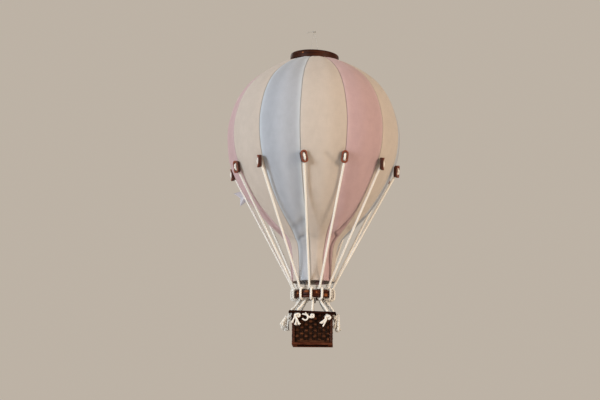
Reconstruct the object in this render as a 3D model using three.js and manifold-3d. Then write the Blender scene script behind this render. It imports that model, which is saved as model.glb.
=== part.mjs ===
// A hanging hot air balloon ornament: a sewn envelope of twelve gores under a turned cap, cords on toggles,
// a load ring and a small woven basket. Millimetres, +Z up, the origin at the knot of the hanging loop.
import * as THREE from 'three';
import { mergeVertices } from 'three/addons/utils/BufferGeometryUtils.js';
import Module from 'manifold-3d';

const wasm = await Module();
wasm.setup();

// Driving sizes
const seamGap = 0.3; // between pieces that touch on the real ornament
const equatorZ = -131; // the widest height of the envelope, under the knot
const goreCount = 12;
const goreAngle = 360 / goreCount;
const firstSeam = -7; // degrees from straight ahead, where -Y is ahead and +X is to the right

// Envelope: height above the equator and radius at the seams, from the cap down to the mouth
const envelopeProfile = [
  [93.6, 27.8],
  [88.6, 40.1],
  [77.5, 59.1],
  [63.4, 75.7],
  [46.0, 87.8],
  [28.3, 94.7],
  [9.9, 98.5],
  [-8.2, 98.4],
  [-26.3, 95.2],
  [-46.8, 87.0],
  [-68.4, 75.5],
  [-88.5, 61.3],
  [-104.4, 46.4],
  [-113.5, 37.2],
  [-120.5, 31.9],
  [-129.5, 28.2],
  [-149.3, 25.8],
  [-167.5, 24.8],
];
const mouthZ = envelopeProfile[envelopeProfile.length - 1][0];
const fabricThickness = 1.2;
const goreRows = 20;
const goreColumns = 3;
const goreBulge = 2.1; // how far the middle of a gore stands out past its seams
const bulgeStart = 0.06; // a gore already stands out a little under the cap

// Cap
const capRadius = 28.6;
const capBase = 94.0; // above the equator
const capHeight = 8.0;
const capEdge = 1.6;
const strandSpread = 4.0; // half the distance between the two strands of the hanging loop
const strandDepth = 3.5; // how deep each strand sits in the cap
const strandRadius = 0.45;
const loopKnotRadius = 1.3;
const loopTail = 9.0;

// Toggles, in a frame of their own: x across, -y outward, z along the length
const beltZ = -38.7;
const beltRadius = 95.5; // centre of a toggle
const toggleWidth = 8.0;
const toggleLength = 14.4;
const toggleBack = -2.4;
const toggleWaist = 1.8;
const toggleEnds = 3.1; // the ends stand prouder than the waist
const slotHalfWidth = 1.85;
const slotHalfLength = 5.3;
const barHalfHeight = 1.6;
const barFront = 0.2;
const barBack = -1.5;
const barBite = 0.2; // how far the crossbar runs into the toggle's sides
const grooveFloor = -0.4; // the groove behind the lower end, where the cord leaves

// Cords
const cordRadius = 1.45;
const cordSides = 8;
const turnPitch = 3.5; // a cord's two passes inside the ring lie this far apart
const restHeights = [-66, -110]; // above the equator, where a taut cord passes closest to the fabric
const cordFlare = [[0.06, 4.2], [0.36, 8.8], [0.8, 13.8]]; // below the ring: share of the way out, and drop

// Load ring
const ringZ = -182.0;
const ringOuter = 22.5;
const ringInner = 18.5;
const ringHeight = 8.6;
const ringGroove = 0.5;
const ringTurn = 2.2; // degrees from a toggle's seam to its cord's place on the ring

// Basket
const rimTop = -202.6;
const rimHeight = 2.6;
const rimTopHalf = 26.1;
const rimBottomHalf = 27.2;
const rimInnerHalf = 20.9;
const basketHalf = 23.1;
const postSize = 3.4;
const wallOuter = 22.0;
const wallThickness = 1.9;
const baseZ = -240.3; // underside of the base frame
const baseHeight = 2.4;
const baseInnerHalf = 17.6;
const postChamfer = 0.8;
const floorThickness = 1.5; // a thin panel, flush with the top of the base frame
const holeHalf = 23.7; // the rim's holes, from the axis
const cordsPerSide = 3;
const holeOffset = 16.4; // the outer holes of a side, from its middle
const holeRadius = 1.75;
const knotOut = 2.1; // a knot hangs this far outside its hole, clear of the wall
const knotRadius = 2.9;
const tasselRadius = 1.9;

// Star pendant
const starCentre = [-83.0, 64.0, -54.9]; // from the axis and the equator
const starTipRadius = 15.0;
const starNotchRadius = 7.4;
const starHalfThickness = 3.0;
const starLean = 9; // anticlockwise, seen from the front
const starHoleAbove = 8.6; // the hole sits straight above the star's centre
const starHoleRadius = 0.95;
const threadRadius = 0.3;
const threadToggle = -127; // degrees

// Colours
const cream = 0xd9cbb8;
const blue = 0xb4bcc6;
const pink = 0xc49a96;
const brown = 0x5a2a1c;
const cordCream = 0xe4d8c8;
const starLilac = 0xc9c2d0;
const nylon = 0xd8dce0;

// One row for each toggle and its cord, by the seam that it sits on.
// out, side and up move the toggle off its place in millimetres. Lean tips its top outward, twist turns it
// about its length and roll tips it sideways, in degrees. The tassel leaves its knot outward,
// sideways and up.
const riggingTable = [
  { seam: -7, out: 0.7, side: 2.8, up: -0.4, lean: 6, twist: 28, roll: -10, tassel: [1.5, -8.5, -0.5] },
  { seam: 23, out: 0.6, side: -1.7, up: 0.6, lean: 6, twist: -20, roll: 5, tassel: [1.0, -6.0, -8.0] },
  { seam: 53, out: 1.4, side: 0.6, up: -1.1, lean: 3, twist: 36, roll: 0, tassel: [3.0, -1.5, -10.5] },
  { seam: 83, out: 1.4, side: 0.0, up: -1.1, lean: 4, twist: -18, roll: -3, tassel: [4.0, 0.0, -10.5] },
  { seam: 113, out: 0.4, side: 2.4, up: 1.5, lean: 8, twist: 2, roll: 3, tassel: [3.0, 3.0, -9.5] },
  { seam: 143, out: 0.2, side: 0.3, up: 0.0, lean: 6, twist: -8, roll: -4, tassel: [2.0, -3.0, -9.0] },
  { seam: 173, out: 0.2, side: -0.3, up: 0.3, lean: 6, twist: 6, roll: 5, tassel: [2.5, 2.0, -9.0] },
  { seam: 203, out: 0.2, side: 0.2, up: -0.5, lean: 6, twist: 12, roll: -3, tassel: [2.0, 4.0, -8.5] },
  { seam: 233, out: 0.2, side: 0.0, up: 0.0, lean: 6, twist: 0, roll: 0, tassel: [6.0, -2.0, -9.5] },
  { seam: 263, out: 0.2, side: 0.0, up: -1.0, lean: 6, twist: 8, roll: 0, tassel: [8.0, 0.5, -8.5] },
  { seam: 293, out: 0.3, side: 3.4, up: -1.6, lean: 8, twist: 20, roll: -3, tassel: [6.5, 2.0, -9.5] },
  { seam: 323, out: 2.1, side: 0.0, up: -2.2, lean: 1, twist: -46, roll: 0, tassel: [1.5, -3.0, -8.0] },
];

const radians = THREE.MathUtils.degToRad;
const balloon = new THREE.Group();

// Solids
function solidOf(geometry) {
  const bare = geometry.index ? geometry.toNonIndexed() : geometry.clone();
  bare.deleteAttribute('normal');
  bare.deleteAttribute('uv');
  const merged = mergeVertices(bare, 1e-4);
  return new wasm.Manifold(new wasm.Mesh({
    numProp: 3,
    vertProperties: new Float32Array(merged.attributes.position.array),
    triVerts: new Uint32Array(merged.index.array),
  }));
}

function geometryOf(solid) {
  const mesh = solid.getMesh();
  const geometry = new THREE.BufferGeometry();
  geometry.setAttribute('position', new THREE.BufferAttribute(new Float32Array(mesh.vertProperties), 3));
  geometry.setIndex(new THREE.BufferAttribute(new Uint32Array(mesh.triVerts), 1));
  geometry.computeVertexNormals();
  return geometry;
}

function boxBetween(low, high) {
  const size = high.map((value, i) => value - low[i]);
  const box = new THREE.BoxGeometry(...size);
  box.translate(...low.map((value, i) => value + size[i] / 2));
  return box;
}

function addPiece(name, geometry, color, roughness = 0.7) {
  const material = new THREE.MeshStandardMaterial({ color, roughness, metalness: 0 });
  const mesh = new THREE.Mesh(geometry, material);
  mesh.name = name;
  balloon.add(mesh);
  return mesh;
}

// Places round the axis: angle in degrees from straight ahead, then outward, sideways and up
function around(angle, outward, sideways, up) {
  const a = radians(angle);
  return new THREE.Vector3(
    outward * Math.sin(a) + sideways * Math.cos(a),
    -outward * Math.cos(a) + sideways * Math.sin(a),
    up,
  );
}

// A route whose points are the very sections of its tube
class ListedRoute extends THREE.Curve {
  constructor(points, closed = false) {
    super();
    this.smooth = new THREE.CatmullRomCurve3(points, closed);
  }

  getPoint(t, target = new THREE.Vector3()) {
    return this.smooth.getPoint(t, target);
  }

  getPointAt(t, target) {
    return this.getPoint(t, target);
  }

  getTangentAt(t, target) {
    return this.getTangent(t, target);
  }
}

function tubeAlong(points, radius, sides, closed = false) {
  const section = new THREE.Shape();
  for (let i = 0; i < sides; i++) {
    const a = (2 * Math.PI * i) / sides;
    const place = [radius * Math.cos(a), radius * Math.sin(a)];
    if (i === 0) section.moveTo(...place);
    else section.lineTo(...place);
  }
  const route = new ListedRoute(points, closed);
  const steps = closed ? points.length : points.length - 1;
  return new THREE.ExtrudeGeometry(section, { steps, extrudePath: route });
}

// Envelope
const profileCurve = new THREE.CatmullRomCurve3(
  envelopeProfile.map(([height, radius]) => new THREE.Vector3(radius, 0, height)),
  false,
  'centripetal',
);

function envelopeRadiusAt(height) {
  const fine = profileCurve.getPoints(400);
  const next = fine.findIndex((point) => point.z <= height);
  if (next <= 0) return fine[0].x;
  const above = fine[next - 1];
  const below = fine[next];
  return THREE.MathUtils.mapLinear(height, above.z, below.z, above.x, below.x);
}

function goreGeometry(startAngle) {
  const positions = [];
  const row = goreColumns + 1;
  const layers = [0, 1].map(() => []);
  for (let i = 0; i <= goreRows; i++) {
    const share = i / goreRows;
    const point = profileCurve.getPointAt(share);
    const tangent = profileCurve.getTangentAt(share);
    const inward = { r: tangent.z, z: -tangent.x };
    const halfGap = THREE.MathUtils.radToDeg(seamGap / 2 / point.x);
    const swell = goreBulge * Math.sin(Math.PI * Math.min(1, bulgeStart + share));
    for (let j = 0; j <= goreColumns; j++) {
      const across = j / goreColumns;
      const angle = THREE.MathUtils.lerp(startAngle + halfGap, startAngle + goreAngle - halfGap, across);
      const bulge = swell * Math.sin(Math.PI * across);
      const outer = around(angle, point.x - bulge * inward.r, 0, equatorZ + point.z - bulge * inward.z);
      const depth = fabricThickness;
      const inner = around(
        angle,
        point.x + (depth - bulge) * inward.r,
        0,
        equatorZ + point.z + (depth - bulge) * inward.z,
      );
      layers[0].push(outer);
      layers[1].push(inner);
    }
  }
  layers.flat().forEach((point) => positions.push(point.x, point.y, point.z));
  const innerStart = layers[0].length;
  const index = [];
  const quad = (a, b, c, d) => index.push(a, b, c, a, c, d);
  for (let i = 0; i < goreRows; i++) {
    for (let j = 0; j < goreColumns; j++) {
      const a = i * row + j;
      quad(a, a + row, a + row + 1, a + 1);
      quad(innerStart + a, innerStart + a + 1, innerStart + a + row + 1, innerStart + a + row);
    }
    const left = i * row;
    const right = left + goreColumns;
    quad(left, innerStart + left, innerStart + left + row, left + row);
    quad(right, right + row, innerStart + right + row, innerStart + right);
  }
  for (let j = 0; j < goreColumns; j++) {
    const bottom = goreRows * row + j;
    quad(j, j + 1, innerStart + j + 1, innerStart + j);
    quad(bottom, innerStart + bottom, innerStart + bottom + 1, bottom + 1);
  }
  const geometry = new THREE.BufferGeometry();
  geometry.setAttribute('position', new THREE.Float32BufferAttribute(positions, 3));
  geometry.setIndex(index);
  geometry.computeVertexNormals();
  return geometry;
}

// Cap: a turned disc with two holes for the strands of the hanging loop
function capGeometry() {
  const base = equatorZ + capBase;
  const top = base + capHeight;
  const soft = capEdge * 0.3;
  const outline = [
    [0, base],
    [capRadius - soft, base],
    [capRadius, base + soft],
    [capRadius, top - capEdge],
    [capRadius - soft, top - soft],
    [capRadius - capEdge, top],
    [0, top],
  ].map(([x, y]) => new THREE.Vector2(x, y));
  const disc = new THREE.LatheGeometry(outline, 40);
  disc.rotateX(Math.PI / 2);
  let solid = solidOf(disc);
  for (const side of [-1, 1]) {
    const strandHole = strandRadius + seamGap;
    const hole = new THREE.CylinderGeometry(strandHole, strandHole, 2 * strandDepth, 10);
    hole.rotateX(Math.PI / 2);
    hole.translate(side * strandSpread, 0, top);
    solid = solid.subtract(solidOf(hole));
  }
  return geometryOf(solid);
}

function hangingLoopGeometry() {
  const base = equatorZ + capBase + capHeight - strandDepth + seamGap;
  const routePoints = [
    [-strandSpread, base],
    [-strandSpread, base + 4],
    [-strandSpread * 0.95, base + 10],
    [-strandSpread * 0.55, base + 22],
    [-strandRadius * 1.5, -1.2],
    [0, 0.2],
    [strandRadius * 1.5, -1.2],
    [strandSpread * 0.55, base + 22],
    [strandSpread * 0.95, base + 10],
    [strandSpread, base + 4],
    [strandSpread, base],
  ].map(([x, z]) => new THREE.Vector3(x, 0, z));
  const strands = solidOf(tubeAlong(routePoints, strandRadius, 8));
  const knot = solidOf(new THREE.SphereGeometry(loopKnotRadius, 10, 8));
  const tail = new THREE.CylinderGeometry(strandRadius * 0.8, strandRadius * 0.8, loopTail, 8);
  tail.rotateZ(Math.PI / 2);
  tail.translate(-loopTail / 2, 0, 0);
  return geometryOf(strands.add(knot).add(solidOf(tail)));
}

// Toggle: a rounded bar with a crossbar between two holes, waisted at the front and grooved at the back
function toggleGeometry() {
  const outline = new THREE.Shape();
  const half = toggleWidth / 2;
  const straight = toggleLength / 2 - half;
  outline.absarc(0, straight, half, 0, Math.PI, false);
  outline.absarc(0, -straight, half, Math.PI, 2 * Math.PI, false);
  const blank = new THREE.ExtrudeGeometry(outline, {
    depth: toggleEnds - toggleBack,
    bevelEnabled: false,
    curveSegments: 5,
  });
  blank.translate(0, 0, toggleBack);
  const slot = new THREE.Shape();
  slot.absarc(0, slotHalfLength - slotHalfWidth, slotHalfWidth, 0, Math.PI, false);
  slot.absarc(0, slotHalfWidth - slotHalfLength, slotHalfWidth, Math.PI, 2 * Math.PI, false);
  const slotCut = new THREE.ExtrudeGeometry(slot, { depth: 20, bevelEnabled: false, curveSegments: 4 });
  slotCut.translate(0, 0, -10);
  const rise = toggleEnds - toggleWaist;
  const saddleRadius = ((toggleLength / 2) ** 2 + rise ** 2) / (2 * rise);
  const saddle = new THREE.CylinderGeometry(saddleRadius, saddleRadius, 2 * toggleWidth, 48);
  saddle.rotateZ(Math.PI / 2);
  saddle.translate(0, 0, toggleWaist + saddleRadius);
  const barHalf = slotHalfWidth + barBite;
  const bar = boxBetween([-barHalf, -barHalfHeight, barBack], [barHalf, barHalfHeight, barFront]);
  const groove = boxBetween(
    [-slotHalfWidth, -toggleLength, toggleBack - 1],
    [slotHalfWidth, -barHalfHeight, grooveFloor],
  );
  const solid = solidOf(blank)
    .subtract(solidOf(saddle))
    .subtract(solidOf(slotCut))
    .add(solidOf(bar))
    .subtract(solidOf(groove));
  const geometry = geometryOf(solid);
  geometry.rotateX(Math.PI / 2);
  return geometry;
}

// Turns a toggle's own frame (x across, -y outward, z along) into the balloon's frame
function toggleMatrix(row) {
  const place = around(row.seam, beltRadius + row.out, row.side, equatorZ + beltZ + row.up);
  const matrix = new THREE.Matrix4().makeTranslation(place);
  matrix.multiply(new THREE.Matrix4().makeRotationZ(radians(row.seam)));
  matrix.multiply(new THREE.Matrix4().makeRotationX(radians(row.lean)));
  matrix.multiply(new THREE.Matrix4().makeRotationY(radians(row.roll)));
  matrix.multiply(new THREE.Matrix4().makeRotationZ(radians(row.twist)));
  return matrix;
}

// Where a cord passes through the rim and where its knot hangs under it
function rimPlace(basketSide, slotIndex, outward, up) {
  return around(basketSide * 90, outward, (slotIndex - 1) * holeOffset, equatorZ + up);
}

function knotPlaceOf(basketSide, slotIndex) {
  return rimPlace(basketSide, slotIndex, holeHalf + knotOut, rimTop - rimHeight - seamGap - knotRadius);
}

// Cord: a bight over the crossbar, down to the ring, a round turn on it, then down through the basket's rim
function cordRoute(row, basketSide, slotIndex) {
  const frame = toggleMatrix(row);
  const hug = barFront + seamGap + cordRadius;
  const reach = barHalfHeight + seamGap + cordRadius;
  const bight = [
    [-2.2, reach + 0.2],
    [0.2, reach + 0.1],
    [hug - 0.8, reach - 0.5],
    [hug, 1.2],
    [hug, -1.2],
    [hug - 0.8, 0.5 - reach],
    [0.2, -reach - 0.1],
    [-1.4, -reach - 0.9],
    [-2.25, -reach - 2.3],
    [-2.3, -toggleLength / 2 - 0.9],
  ].map(([outward, along]) => new THREE.Vector3(0, -outward, along).applyMatrix4(frame));

  const offset = cordRadius + seamGap + 0.1;
  const middle = (ringOuter + ringInner) / 2;
  const halfWide = (ringOuter - ringInner) / 2;
  const halfTall = ringHeight / 2;
  const z = equatorZ + ringZ;
  const wrap = [
    [halfWide * 0.8, halfTall + offset - 0.1],
    [-halfWide * 0.5, halfTall + offset],
    [-halfWide - offset * 0.7, halfTall + offset * 0.7],
    [-halfWide - offset, halfTall - 1],
    [-halfWide - offset, -halfTall],
    [-halfWide - offset * 0.6, -halfTall - offset * 0.8],
    [0, -halfTall - offset],
    [halfWide + offset * 0.6, -halfTall - offset * 0.8],
    [halfWide + offset, -halfTall],
    [halfWide + offset, halfTall],
    [halfWide + offset * 0.6, halfTall + offset * 0.8],
    [0, halfTall + offset],
    [-halfWide - offset * 0.6, halfTall + offset * 0.8],
    [-halfWide - offset, halfTall],
    [-halfWide - offset, -halfTall + 1],
  ];
  const turn = wrap.map(([outward, up], i) => {
    const sideways = turnPitch * (i / (wrap.length - 1) - 0.5);
    return around(row.seam + ringTurn, middle + outward, sideways, z + up);
  });

  // Taut from the toggle to the ring, only resting on the fabric and passing just outside the mouth
  const start = bight[bight.length - 1];
  const end = turn[0];
  const taut = [...restHeights, mouthZ].map((height) => {
    const share = (start.z - equatorZ - height) / (start.z - end.z);
    const place = start.clone().lerp(end, share);
    const nearest = envelopeRadiusAt(height) + cordRadius * 1.15 + seamGap;
    const radius = Math.max(Math.hypot(place.x, place.y), nearest);
    return place.setZ(0).setLength(radius).setZ(equatorZ + height);
  });

  const below = turn[turn.length - 1];
  const top = rimPlace(basketSide, slotIndex, holeHalf - 0.2, rimTop + 1.2);
  const basket = [
    ...cordFlare.map(([share, drop]) => below.clone().lerp(top, share).setZ(below.z - drop)),
    top,
    rimPlace(basketSide, slotIndex, holeHalf, rimTop - rimHeight),
    knotPlaceOf(basketSide, slotIndex),
  ];
  return [...bight, ...taut, ...turn, ...basket];
}

function cordGeometry(row, basketSide, slotIndex) {
  const points = cordRoute(row, basketSide, slotIndex);
  let solid = solidOf(tubeAlong(points, cordRadius, cordSides));
  const knotPlace = points[points.length - 1];
  const knot = new THREE.IcosahedronGeometry(knotRadius, 1);
  knot.translate(knotPlace.x, knotPlace.y, knotPlace.z);
  const [outward, sideways, up] = row.tassel;
  const direction = around(basketSide * 90, outward, sideways, up);
  const tassel = new THREE.CylinderGeometry(tasselRadius, cordRadius * 0.9, direction.length(), 8);
  tassel.translate(0, direction.length() / 2, 0);
  const turn = new THREE.Quaternion().setFromUnitVectors(
    new THREE.Vector3(0, 1, 0),
    direction.clone().normalize(),
  );
  tassel.applyQuaternion(turn);
  tassel.translate(knotPlace.x, knotPlace.y, knotPlace.z);
  solid = solid.add(solidOf(knot)).add(solidOf(tassel));
  return geometryOf(solid);
}

// Load ring: a turned hoop with two grooves round it
function ringGeometry() {
  const half = ringHeight / 2;
  const soft = 0.8;
  const outline = [
    [ringInner, -half + soft],
    [ringInner + soft, -half],
    [ringOuter - soft, -half],
    [ringOuter, -half + soft],
    [ringOuter, -1.9],
    [ringOuter - ringGroove, -1.4],
    [ringOuter, -0.9],
    [ringOuter, 0.9],
    [ringOuter - ringGroove, 1.4],
    [ringOuter, 1.9],
    [ringOuter, half - soft],
    [ringOuter - soft, half],
    [ringInner + soft, half],
    [ringInner, half - soft],
    [ringInner, -half + soft],
  ].map(([x, y]) => new THREE.Vector2(x, y));
  const ring = new THREE.LatheGeometry(outline, 28);
  ring.rotateX(Math.PI / 2);
  ring.translate(0, 0, equatorZ + ringZ);
  return geometryOf(solidOf(ring));
}

// Basket: a sloping rim with holes for the cords, over four posts and four walls, on a base frame that holds
// a thin floor panel
function squareRing(halfOuter, halfInner) {
  const shape = new THREE.Shape();
  shape.moveTo(-halfOuter, -halfOuter);
  shape.lineTo(halfOuter, -halfOuter);
  shape.lineTo(halfOuter, halfOuter);
  shape.lineTo(-halfOuter, halfOuter);
  const hole = new THREE.Path();
  hole.moveTo(-halfInner, -halfInner);
  hole.lineTo(-halfInner, halfInner);
  hole.lineTo(halfInner, halfInner);
  hole.lineTo(halfInner, -halfInner);
  shape.holes.push(hole);
  return shape;
}

function rimGeometry() {
  const block = new THREE.CylinderGeometry(
    rimTopHalf * Math.SQRT2,
    rimBottomHalf * Math.SQRT2,
    rimHeight,
    4,
  );
  block.rotateY(Math.PI / 4);
  block.rotateX(Math.PI / 2);
  block.translate(0, 0, equatorZ + rimTop - rimHeight / 2);
  const frame = new THREE.ExtrudeGeometry(squareRing(2 * rimBottomHalf, rimInnerHalf), {
    depth: 2 * rimHeight,
    bevelEnabled: false,
  });
  frame.translate(0, 0, equatorZ + rimTop - 1.5 * rimHeight);
  let solid = solidOf(block).intersect(solidOf(frame));
  for (let k = 0; k < goreCount; k++) {
    const hole = new THREE.CylinderGeometry(holeRadius, holeRadius, 4 * rimHeight, 12);
    hole.rotateX(Math.PI / 2);
    const place = rimPlace(Math.floor(k / cordsPerSide), k % cordsPerSide, holeHalf, rimTop);
    hole.translate(place.x, place.y, place.z);
    solid = solid.subtract(solidOf(hole));
  }
  return geometryOf(solid);
}

function postGeometry(quarter) {
  const top = equatorZ + rimTop - rimHeight - seamGap;
  const bottom = equatorZ + baseZ + baseHeight + seamGap;
  const outer = basketHalf;
  const inner = basketHalf - postSize;
  const shape = new THREE.Shape();
  shape.moveTo(inner, inner);
  shape.lineTo(outer, inner);
  shape.lineTo(outer, outer - postChamfer);
  shape.lineTo(outer - postChamfer, outer);
  shape.lineTo(inner, outer);
  const post = new THREE.ExtrudeGeometry(shape, { depth: top - bottom, bevelEnabled: false });
  post.translate(0, 0, bottom);
  post.rotateZ((quarter * Math.PI) / 2);
  return post;
}

function wallGeometry(basketSide) {
  const halfLength = basketHalf - postSize - seamGap;
  const top = equatorZ + rimTop - rimHeight - seamGap;
  const bottom = equatorZ + baseZ + baseHeight + seamGap;
  const wall = boxBetween([-halfLength, -wallOuter, bottom], [halfLength, wallThickness - wallOuter, top]);
  wall.rotateZ((basketSide * Math.PI) / 2);
  return wall;
}

function baseGeometry() {
  const frame = new THREE.ExtrudeGeometry(squareRing(basketHalf, baseInnerHalf), {
    depth: baseHeight,
    bevelEnabled: false,
  });
  frame.translate(0, 0, equatorZ + baseZ);
  return frame;
}

function floorGeometry() {
  const half = baseInnerHalf - seamGap;
  const top = equatorZ + baseZ + baseHeight;
  return boxBetween([-half, -half, top - floorThickness], [half, half, top]);
}

// Star pendant: five faceted points, hung by a thread that is looped round a toggle's waist
function starGeometry() {
  const points = [];
  for (let i = 0; i < 10; i++) {
    const radius = i % 2 === 0 ? starTipRadius : starNotchRadius;
    const a = radians(90 + starLean + 36 * i);
    points.push([radius * Math.cos(a), 0, radius * Math.sin(a)]);
  }
  const front = points.push([0, -starHalfThickness, 0]) - 1;
  const back = points.push([0, starHalfThickness, 0]) - 1;
  const index = [];
  for (let i = 0; i < 10; i++) {
    const next = (i + 1) % 10;
    index.push(next, i, front);
    index.push(i, next, back);
  }
  const geometry = new THREE.BufferGeometry();
  geometry.setAttribute('position', new THREE.Float32BufferAttribute(points.flat(), 3));
  geometry.setIndex(index.reverse());
  const hole = new THREE.CylinderGeometry(starHoleRadius, starHoleRadius, 10, 10);
  hole.translate(0, 0, starHoleAbove);
  const solid = geometryOf(solidOf(geometry).subtract(solidOf(hole)));
  solid.translate(starCentre[0], starCentre[1], equatorZ + starCentre[2]);
  return solid;
}

function starThreadGeometry() {
  const row = riggingTable.find((entry) => entry.seam === threadToggle + 360);
  const frame = toggleMatrix(row);
  const besideToggle = toggleWidth / 2 + threadRadius + seamGap;
  const behindToggle = toggleBack - threadRadius - 0.25;
  const beforeToggle = toggleWaist + threadRadius + seamGap;
  const onToggle = (sideways, outward, along = 0) =>
    new THREE.Vector3(sideways, -outward, along).applyMatrix4(frame);
  const hang = (dx, dy, dz) => new THREE.Vector3(
    starCentre[0] + dx,
    starCentre[1] + dy,
    equatorZ + starCentre[2] + starHoleAbove + dz,
  );
  const inHole = starHoleRadius - threadRadius - 0.25;
  const points = [
    hang(0, 0, inHole),
    hang(0, -1.9, inHole),
    hang(0, -2.8, inHole + 0.7),
    onToggle(besideToggle, beforeToggle),
    onToggle(besideToggle, 0),
    onToggle(besideToggle, behindToggle + 0.7),
    onToggle(besideToggle - 0.8, behindToggle),
    onToggle(0, behindToggle),
    onToggle(-besideToggle + 0.8, behindToggle),
    onToggle(-besideToggle, behindToggle + 0.7),
    onToggle(-besideToggle, 0),
    onToggle(-besideToggle, beforeToggle),
    hang(0, 2.8, inHole + 0.7),
    hang(0, 1.9, inHole),
  ];
  return geometryOf(solidOf(tubeAlong(points, threadRadius, 6, true)));
}

// Assembly
const goreColours = { pink, cream, blue };
const goreOrder = ['blue', 'cream', 'pink', 'cream']; // from the gore left of straight ahead, to the right
addPiece('top_cap', capGeometry(), brown, 0.35);
addPiece('hanging_loop', hangingLoopGeometry(), nylon, 0.3);
for (let k = 0; k < goreCount; k++) {
  const start = firstSeam - goreAngle + k * goreAngle;
  const name = `gore_${String(k + 1).padStart(2, '0')}_${goreOrder[k % 4]}`;
  addPiece(name, goreGeometry(start), goreColours[goreOrder[k % 4]], 0.9);
}

const toggle = toggleGeometry();
riggingTable.forEach((row, k) => {
  const number = String(k + 1).padStart(2, '0');
  const mesh = addPiece(`toggle_${number}`, toggle.clone(), brown, 0.3);
  mesh.applyMatrix4(toggleMatrix(row));
  // The first two cords and the last one go to the front of the basket, then three to each side in turn
  const basketSide = Math.floor(((k + 1) % goreCount) / cordsPerSide);
  const slotIndex = (k + 1) % cordsPerSide;
  addPiece(`cord_${number}`, cordGeometry(row, basketSide, slotIndex), cordCream, 0.9);
});

addPiece('load_ring', ringGeometry(), brown, 0.35);
addPiece('basket_rim', rimGeometry(), brown, 0.5);
addPiece('basket_base', baseGeometry(), brown, 0.5);
addPiece('basket_floor', floorGeometry(), brown, 0.6);
const sideNames = ['front', 'right', 'back', 'left'];
sideNames.forEach((side, k) => addPiece(`basket_wall_${side}`, wallGeometry(k), brown, 0.6));
const cornerNames = ['back_right', 'back_left', 'front_left', 'front_right'];
cornerNames.forEach((corner, k) => addPiece(`basket_post_${corner}`, postGeometry(k), brown, 0.5));

addPiece('star', starGeometry(), starLilac, 0.4);
addPiece('star_thread', starThreadGeometry(), cordCream, 0.8);

export default balloon;
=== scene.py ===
import math
import random

import bpy
from mathutils import Matrix, Vector


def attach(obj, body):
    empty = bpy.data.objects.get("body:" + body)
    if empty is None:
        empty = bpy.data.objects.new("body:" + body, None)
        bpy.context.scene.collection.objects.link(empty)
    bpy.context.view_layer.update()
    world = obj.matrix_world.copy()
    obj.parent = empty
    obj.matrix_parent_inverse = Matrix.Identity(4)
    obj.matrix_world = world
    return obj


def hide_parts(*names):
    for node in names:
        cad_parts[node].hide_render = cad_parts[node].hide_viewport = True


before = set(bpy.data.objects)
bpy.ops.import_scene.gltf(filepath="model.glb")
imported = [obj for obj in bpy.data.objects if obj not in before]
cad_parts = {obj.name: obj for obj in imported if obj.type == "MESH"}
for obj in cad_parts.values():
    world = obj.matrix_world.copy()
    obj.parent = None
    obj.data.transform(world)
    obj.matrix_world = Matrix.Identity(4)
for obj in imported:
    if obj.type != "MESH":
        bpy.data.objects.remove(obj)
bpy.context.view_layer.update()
mm = 0.001  # the sizes below are in millimetres
scene = bpy.context.scene


# Helpers for working as by hand

def deselectAll():
    if bpy.context.mode != "OBJECT":
        bpy.ops.object.mode_set(mode="OBJECT")
    bpy.ops.object.select_all(action="DESELECT")


def makeActive(piece):
    deselectAll()
    piece.select_set(True)
    bpy.context.view_layer.objects.active = piece


def namePiece(name):
    piece = bpy.context.active_object
    piece.name = name
    piece.data.name = name
    return piece


# Names the primitive that was just added and puts its place into its mesh
def startPiece(name):
    piece = namePiece(name)
    makeActive(piece)
    bpy.ops.object.transform_apply(location=True, rotation=True, scale=True)
    return piece


def addBox(name, centre, size):
    deselectAll()
    bpy.ops.mesh.primitive_cube_add(
        size=1, location=[value * mm for value in centre], scale=[value * mm for value in size],
    )
    return startPiece(name)


def addCylinder(name, radius, depth, centre, vertices, turn=(0, 0, 0)):
    deselectAll()
    bpy.ops.mesh.primitive_cylinder_add(
        vertices=vertices, radius=radius * mm, depth=depth * mm,
        location=[value * mm for value in centre], rotation=turn,
    )
    return startPiece(name)


def applyModifier(piece, kind, **settings):
    modifier = piece.modifiers.new(kind.title(), kind)
    for key, value in settings.items():
        setattr(modifier, key, value)
    makeActive(piece)
    bpy.ops.object.modifier_apply(modifier=modifier.name)


# Rounds all edges, or those sharper than an angle
def easeEdges(piece, width, segments, degrees=None):
    limit = {"limit_method": "NONE"}
    if degrees:
        limit = {"limit_method": "ANGLE", "angle_limit": math.radians(degrees)}
    applyModifier(piece, "BEVEL", width=width * mm, segments=segments, **limit)


def cutWith(piece, cutter, operation="DIFFERENCE"):
    applyModifier(piece, "BOOLEAN", operation=operation, object=cutter, solver="EXACT")
    bpy.data.objects.remove(cutter)


# Selects points and edges by their places and faces by their normal, and stays in edit mode
def selectWhere(piece, kind, test):
    makeActive(piece)
    bpy.ops.object.mode_set(mode="EDIT")
    bpy.ops.mesh.select_mode(type=kind)
    bpy.ops.mesh.select_all(action="DESELECT")
    bpy.ops.object.mode_set(mode="OBJECT")
    mesh = piece.data
    if kind == "FACE":
        for face in mesh.polygons:
            face.select = test(face.normal)
    elif kind == "EDGE":
        for edge in mesh.edges:
            edge.select = test(*(mesh.vertices[i].co for i in edge.vertices))
    else:
        for vertex in mesh.vertices:
            vertex.select = test(vertex.co)
    bpy.ops.object.mode_set(mode="EDIT")


# Draws a round piece out into an oval along Z
def drawOut(piece, reach):
    for sign in (1, -1):
        selectWhere(piece, "VERT", lambda co: co.z * sign > 1e-5)
        bpy.ops.transform.translate(value=(0, 0, sign * reach * mm))
        bpy.ops.object.mode_set(mode="OBJECT")


# Insets the selected faces; each step has a width and a rise
def insetSteps(steps):
    for width, rise in steps:
        bpy.ops.mesh.inset(thickness=width * mm, depth=rise * mm)


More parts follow.
